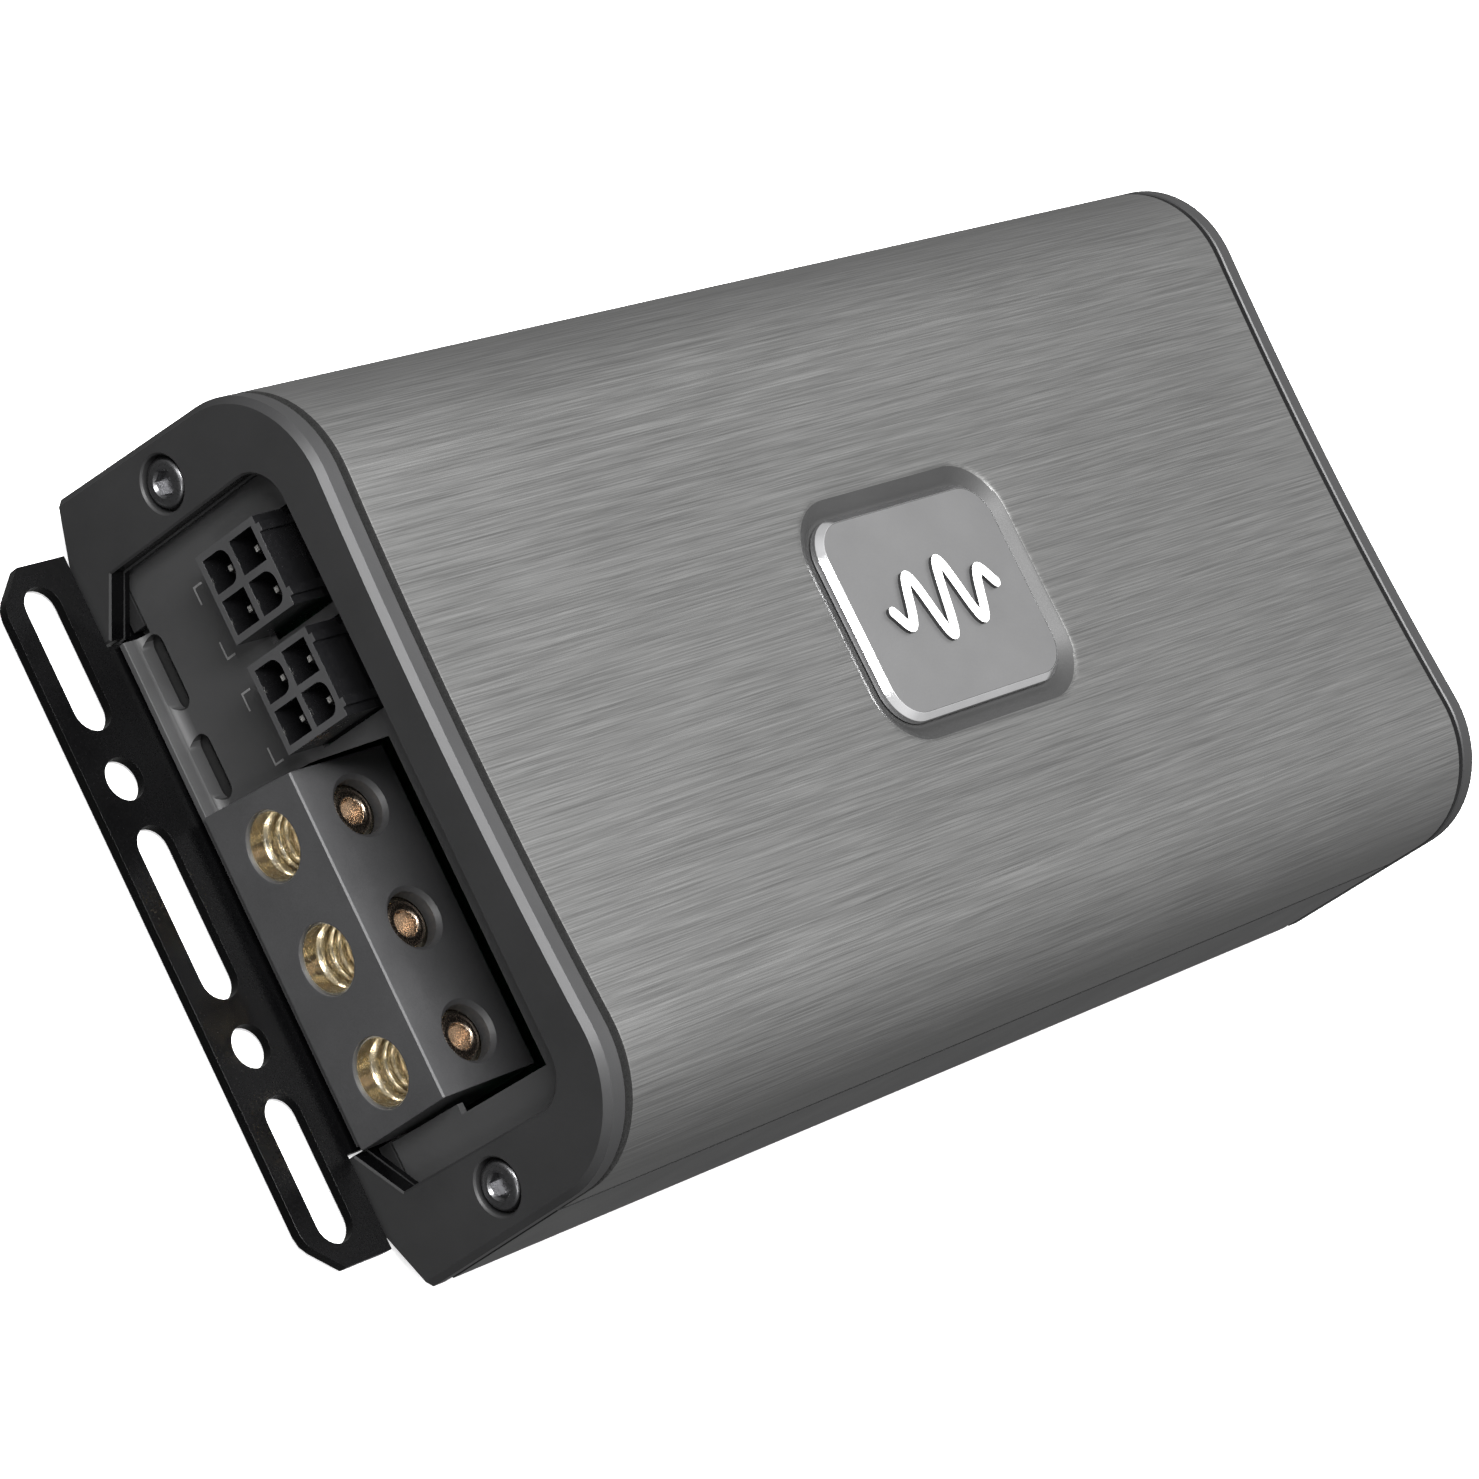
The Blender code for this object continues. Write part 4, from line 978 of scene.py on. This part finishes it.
def terminal_bore():
    """Stepped mouth, turned rings and a dished end, as (radius, depth) pairs."""
    sleeve_r = WIRE_HOLE_R - 0.22
    bore = [(0.0, -SLEEVE_REACH), (WIRE_HOLE_R - 0.08, -SLEEVE_REACH),
            (sleeve_r, 0.0 - SLEEVE_REACH / 2), (sleeve_r, 0.75),
            (WIRE_BORE_R + 0.30, 0.98), (WIRE_BORE_R + 0.12, 1.25), (WIRE_BORE_R, 1.7)]
    groove = ((0.0, 0.0), (0.10, 0.16), (0.22, 0.40), (0.22, 0.55), (0.10, 0.80), (0.0, 0.95))
    for i in range(BORE_RINGS):
        start = 1.9 + i * BORE_RING_PITCH
        bore += [(WIRE_BORE_R + rise, start + run) for rise, run in groove]
    return bore + [(WIRE_BORE_R, 8.6), (2.6, 9.1), (2.0, 9.3), (1.2, 10.3), (0.0, 10.4)]


def make_terminal(number, y):
    """Brass barrel with a sleeve in the wire hole and a tab to the board."""
    front = -(HALF_LENGTH - BLOCK_FRONT) + 2.3
    back = front + TERMINAL_LENGTH - 0.3
    barrel = box(f"terminal_barrel_{number}", (front, back),
                 (y - TERMINAL_HALF_WIDTH, y + TERMINAL_HALF_WIDTH), TERMINAL_Z)
    tab = box("tab", (back - 0.5, back + 5.0), (y - 2.5, y + 2.5), (7.2, 8.2))
    sleeve = rod("sleeve", (front - SLEEVE_REACH, y, WIRE_Z), (1, 0, 0),
                 WIRE_HOLE_R - 0.04, 2.6, BORE_STEPS)
    combine(barrel, [tab, sleeve], "UNION")
    bore = turned("bore", terminal_bore(), (front - 1.0, y, WIRE_Z), (1, 0, 0), BORE_STEPS)
    thread = rod("thread", (CLAMP_X, y, WIRE_Z), (0, 0, 1), CLAMP_SCREW_R + 0.10, 8.0,
                 MEDIUM_STEPS)
    combine(barrel, [bore, thread])
    dress(barrel, "brass", replaces=(f"power_terminal_{number}",), smooth_angle=30.0)


def make_clamp_screw(number, y):
    """Threaded grub screw with a rounded rim and a hexagon socket."""
    low, high, r = CLAMP_LOW_Z, CLAMP_TOP_Z, CLAMP_SCREW_R
    profile = [(0.0, low), (r - 0.5, low), (r, low + 0.5)]
    for i in range(4):
        z = low + 0.55 + i * 0.48
        profile += [(r, z), (r - 0.14, z + 0.16), (r, z + 0.34)]
    profile += [(r, high - 0.34), (r - 0.05, high - 0.18), (r - 0.15, high - 0.06),
                (r - 0.32, high), (0.0, high)]
    screw = turned(f"clamp_screw_{number}", profile, (CLAMP_X, y, 0.0), (0, 0, 1))
    combine(screw, [prism_z("hex", hexagon((CLAMP_X, y), HEX_FLATS), high - 1.9, high + 1.0)])
    lead = [(0.0, -0.45), (1.34, -0.45), (1.40, -0.22), (1.52, -0.08), (1.72, 0.0),
            (1.72, 0.5), (0.0, 0.5)]
    combine(screw, [turned("lead", lead, (CLAMP_X, y, high), (0, 0, 1))])
    node = f"wire_clamp_screw_{number}"
    dress(screw, "brass", body=node, replaces=(node,), look="warm_brass")


def make_bracket_marks():
    """Printed corner brackets under each speaker socket, plain lines only."""
    x_low = -(HALF_LENGTH - PANEL_SETBACK) - 0.03
    for letter, y_high, y_low, z in BRACKET_MARKS:
        outlines = []
        for edge, inward in ((y_high, -1), (y_low, 1)):
            stem = sorted((edge, edge + inward * MARK_WIDTH))
            foot = sorted((edge, edge + inward * MARK_FOOT))
            outlines.append(rectangle(*stem, z, z + MARK_STEM))
            outlines.append(rectangle(*foot, z - MARK_WIDTH, z))
        marks = printed_marks(f"bracket_marks_{letter}", outlines, x_low, x_low + 0.02)
        dress(marks, "white_enamel", look="mark_print")


# ---- badge
def badge_outline(inset):
    return rounded_rectangle(BADGE_HALF[0] - inset, BADGE_HALF[1] - inset,
                             BADGE_R - inset * 0.8, 12)


def make_badge():
    """Bright bevelled frame round a satin face."""
    low, top, bevel = BADGE_LOW_Z, BADGE_TOP_Z, BADGE_BEVEL
    frame_rings = [(low, badge_outline(0.0)), (top - 0.72, badge_outline(0.0)),
                   (top - 0.66, badge_outline(0.04)), (top - 0.06, badge_outline(bevel)),
                   (top - 0.05, badge_outline(bevel + 0.03)),
                   (top - 0.2, badge_outline(bevel + 0.04)), (low, badge_outline(bevel + 0.04))]
    frame_piece = loft_z("badge_frame", frame_rings, closed=True)
    dress(frame_piece, "chrome", replaces=("badge_bezel",), smooth_angle=20.0)
    face_rings = [(low + 0.1, badge_outline(bevel + 0.06)),
                  (top - 0.09, badge_outline(bevel + 0.06)),
                  (top - 0.06, badge_outline(bevel + 0.10))]
    dress(loft_z("badge_face", face_rings), "satin_grey", replaces=("badge_plate",))


def wave_spine(t):
    """Point of the wave line at t from -1 to 1: a sine that fades towards its ends."""
    fade = math.cos(0.42 * math.pi * t)
    return WAVE_HALF_RUN * t, WAVE_SWING * fade * math.sin(1.5 * TAU * t)


def make_wave():
    """Raised wave line of even stroke with round ends."""
    radius = WAVE_STROKE / 2
    spine = [wave_spine(-1.0 + i / 400) for i in range(801)]
    upper, lower = [], []
    for i in range(WAVE_STEPS + 1):
        x = (WAVE_HALF_RUN + radius - 0.01) * (-1.0 + 2.0 * i / WAVE_STEPS)
        near = [(sy, math.sqrt(radius ** 2 - (sx - x) ** 2))
                for sx, sy in spine if abs(sx - x) < radius]
        upper.append((x, max(sy + rise for sy, rise in near)))
        lower.append((x, min(sy - rise for sy, rise in near)))
    wave = prism_z("wave_motif", lower + upper[::-1], BADGE_TOP_Z - 0.15,
                   BADGE_TOP_Z + WAVE_HEIGHT)
    dress(wave, "white_enamel", replaces=("badge_wave",), smooth_angle=30.0)
    # the side walls of the wave are painted black: painted shadow
    paint_faces(wave, "anodised_black", lambda at, normal: normal.z < 0.5)


# ---- input end
def make_jacks():
    """Turned shells of the four line inputs, grooved near the panel and round-lipped."""
    profile = [(3.6, 0.25), (4.2, 0.25), (4.2, 4.6), (4.06, 4.75), (4.06, 5.0), (4.2, 5.15),
               (4.2, 9.2), (4.05, 9.45), (3.85, 9.5), (3.68, 9.4), (3.6, 9.1)]
    places = [(y, z) for z in JACK_Z for y in JACK_Y]
    for number, (y, z) in enumerate(places, 1):
        shell = turned(f"jack_shell_{number}", profile, (INPUT_BACK_X, y, z), (1, 0, 0))
        dress(shell, "nickel", replaces=(f"line_input_shell_{number}",))


def make_gain_knob(letter, y):
    """Ribbed cap with a pointer slit, on a plain stem."""
    start = INPUT_BACK_X - 4.5
    length = HALF_LENGTH + 1.0 - start
    steps = KNOB_RIBS * 4
    collar, crown = [], []
    for i in range(steps):
        a = TAU * i / steps
        radius = KNOB_R - (KNOB_RIB_DEPTH if i % 4 in (2, 3) else 0.0)
        collar.append((y + radius * math.cos(a), KNOB_Z + radius * math.sin(a)))
        crown.append((y + KNOB_CROWN_R * math.cos(a), KNOB_Z + KNOB_CROWN_R * math.sin(a)))
    knob = loft_x(f"gain_cap_{letter}", [(start + 4.75, collar), (start + length - 0.5, collar),
                                         (start + length, crown)])
    stem = rod("stem", (start, y, KNOB_Z), (1, 0, 0), 1.5, 5.0, SMALL_STEPS)
    combine(knob, [stem], "UNION")
    slit = box("slit", (start + length - 1.2, start + length + 1.0), (y - 0.5, y + 0.5),
               (KNOB_Z - 5.0, KNOB_Z + 1.6))
    combine(knob, [slit])
    node = f"gain_knob_{letter}"
    dress(knob, "switch_plastic", body=node, replaces=(node,))


def make_switch_slider(letter, y):
    """Ridged sliding button on a flat carrier."""
    node = f"filter_switch_slider_{letter}"
    xs, ys, zs = node_box(node)
    step = xs[1] - 5.3
    button_y = (y - 1.4, y + 1.4)
    carrier = box("carrier", (xs[0], step), (ys[0] + 0.02, ys[1] - 0.02),
                  (zs[0] + 0.02, zs[1] - 0.02))
    button = box(f"slide_button_{letter}", (step - 0.5, xs[1] - 0.35), button_y,
                 (zs[0] + 0.1, zs[1] - 0.1))
    ribs = []
    for k in range(5):
        middle = button_y[0] + 0.28 + k * 0.56
        outline = [(xs[1] - 0.5, middle - 0.22), (xs[1] - 0.02, middle - 0.10),
                   (xs[1] - 0.02, middle + 0.10), (xs[1] - 0.5, middle + 0.22)]
        ribs.append(prism_z("rib", outline, zs[0] + 0.15, zs[1] - 0.15))
    combine(button, [carrier] + ribs, "UNION")
    soften(button, 0.05, angle=40.0)
    dress(button, "switch_plastic", body=node, replaces=(node,))


def make_dial_marks(letter, y):
    """Plain tick marks round a gain control, longer at its middle and ends."""
    hub = Vector((y, KNOB_Z))
    outlines = []
    for i in range(11):
        angle = math.radians(90 + 150 - 30 * i)
        out = Vector((math.cos(angle), math.sin(angle)))
        across = Vector((-out.y, out.x)) * (0.16 if i % 5 else 0.24)
        near, far = 4.2, (5.1 if i % 5 else 5.6)
        outlines.append([hub + out * near - across, hub + out * far - across,
                         hub + out * far + across, hub + out * near + across])
    ticks = printed_marks(f"gain_ticks_{letter}", outlines,
                          INPUT_PANEL_X + 0.01, INPUT_PANEL_X + 0.03)
    dress(ticks, "white_enamel")


def make_input_details():
    make_jacks()
    for make in (make_gain_knob, make_switch_slider, make_dial_marks):
        for letter, y in zip("ab", CONTROL_Y):
            make(letter, y)


# ---- build
def dress_cad_nodes():
    """Gives every CAD node the material of its slot, and shades the inside of the tray."""
    for part in frame["record"]["subparts"]:
        obj = NODES[part["node"]]
        obj.data.materials.clear()
        obj.data.materials.append(LOOKS[part["material_slot"]])

    def inside_tray(at, normal):
        return abs(at.y) < SHADED_Y and at.z > SHADED_Z and abs(at.x) < SHADED_X

    paint_faces(NODES["chassis_tray"], "gasket_black", inside_tray)


def make_object():
    make_cover()
    make_end_plate("connector_end_plate", "connector_bulkhead", -1)
    make_end_plate("input_end_plate", "input_bulkhead", 1)
    for number, (end, side) in enumerate(((-1, 1), (-1, -1), (1, 1), (1, -1)), 1):
        make_end_plate_screw(number, end, side)
    make_mounting_plate()
    for letter, y in zip("ab", SOCKET_Y):
        make_socket(letter, y)
    make_terminal_block()
    for number, y in enumerate(WIRE_Y, 1):
        make_terminal(number, y)
        make_clamp_screw(number, y)
    make_panels()
    make_bracket_marks()
    make_badge()
    make_wave()
    make_input_details()


dress_cad_nodes()
make_object()


# ---- studio, in metres
FLOOR_HALF = 4000.0         # in millimetres
FLOOR_DROP = -0.02          # in millimetres
LIGHT_TARGET = (-0.07, 0.0, 0.02)
LIGHTS = (
    # name, place, width and height, watts
    ("overhead_softbox", (-0.28, 0.05, 0.74), (0.24, 0.75), 24.5),
    ("front_fill_left", (-0.86, 0.30, 0.30), (0.20, 0.20), 1.4),
    ("front_fill_right", (-0.84, -0.40, 0.24), (0.20, 0.20), 1.4),
)
SKY_STOPS = ((0.0, 0.12), (0.35, 0.16), (0.50, 0.30), (0.72, 0.42), (0.84, 0.70), (1.0, 0.85))
SKY_SIDES = (0.52, 1.15)    # share of the sky's brightness towards -X and towards +X
SKY_STRENGTH = 1.6
LENS = 126.92
CAMERA_PLACE = (-0.43095, -0.07227, 0.38447)
CAMERA_RIGHT = (0.63506, -0.43570, 0.63786)
CAMERA_UP = (0.20795, 0.89169, 0.40205)
CAMERA_BACK = (-0.74395, -0.12268, 0.65688)


def make_floor():
    look = Look("pale_floor", 0.85)
    haze = look.noise(3.0, detail=2.0)
    look.blend(haze, (0.80, 0.80, 0.80), (0.84, 0.84, 0.84))
    look.bump(look.noise(700.0), 0.03, 0.02)
    look.shader.inputs["Emission Color"].default_value = (1.0, 1.0, 1.0, 1.0)
    look.shader.inputs["Emission Strength"].default_value = 0.62
    corners = rectangle(-FLOOR_HALF, FLOOR_HALF, -FLOOR_HALF, FLOOR_HALF)
    floor = new_object("studio_floor", [(x, y, FLOOR_DROP) for x, y in corners], [(0, 1, 2, 3)])
    floor.data.materials.append(look.material)
    floor.visible_diffuse = False
    floor.visible_glossy = False


def make_light(name, place, size, power):
    data = bpy.data.lights.new(name, "AREA")
    data.shape = "RECTANGLE"
    data.size, data.size_y = size
    data.energy = power
    lamp = bpy.data.objects.new(name, data)
    bpy.context.scene.collection.objects.link(lamp)
    lamp.location = place
    aim = Vector(LIGHT_TARGET) - Vector(place)
    lamp.rotation_euler = aim.to_track_quat("-Z", "Y").to_euler()


def make_camera():
    data = bpy.data.cameras.new("camera")
    data.lens = LENS
    data.sensor_width = 36.0
    data.clip_start = 0.02
    data.clip_end = 60.0
    camera = bpy.data.objects.new("camera", data)
    bpy.context.scene.collection.objects.link(camera)
    axes = (Vector(CAMERA_RIGHT), Vector(CAMERA_UP), Vector(CAMERA_BACK))
    turn = Matrix(axes).transposed().to_4x4()
    camera.matrix_world = Matrix.Translation(CAMERA_PLACE) @ turn
    bpy.context.scene.camera = camera


def make_world():
    """Soft grey surround: dim below the horizon, brighter overhead and towards +X."""
    world = bpy.data.worlds.new("studio")
    bpy.context.scene.world = world
    world.use_nodes = True
    tree = world.node_tree
    place = tree.nodes.new("ShaderNodeTexCoord")
    split = tree.nodes.new("ShaderNodeSeparateXYZ")
    height = tree.nodes.new("ShaderNodeMapRange")
    height.inputs["From Min"].default_value = -1.0
    side = tree.nodes.new("ShaderNodeMapRange")
    side.inputs["From Min"].default_value = -1.0
    side.inputs["To Min"].default_value, side.inputs["To Max"].default_value = SKY_SIDES
    ramp = tree.nodes.new("ShaderNodeValToRGB")
    scale = tree.nodes.new("ShaderNodeVectorMath")
    scale.operation = "SCALE"
    background = tree.nodes["Background"]
    background.inputs["Strength"].default_value = SKY_STRENGTH
    for source, target in (
            (place.outputs["Generated"], split.inputs["Vector"]),
            (split.outputs["Z"], height.inputs["Value"]),
            (height.outputs["Result"], ramp.inputs["Fac"]),
            (split.outputs["X"], side.inputs["Value"]),
            (ramp.outputs["Color"], scale.inputs[0]),
            (side.outputs["Result"], scale.inputs["Scale"]),
            (scale.outputs["Vector"], background.inputs["Color"])):
        tree.links.new(source, target)
    while len(ramp.color_ramp.elements) < len(SKY_STOPS):
        ramp.color_ramp.elements.new(0.5)
    for element, (position, level) in zip(ramp.color_ramp.elements, SKY_STOPS):
        element.position = position
        element.color = (level, level, level, 1.0)


make_floor()
make_world()
for light in LIGHTS:
    make_light(*light)
make_camera()
bpy.context.scene.view_settings.view_transform = "Standard"
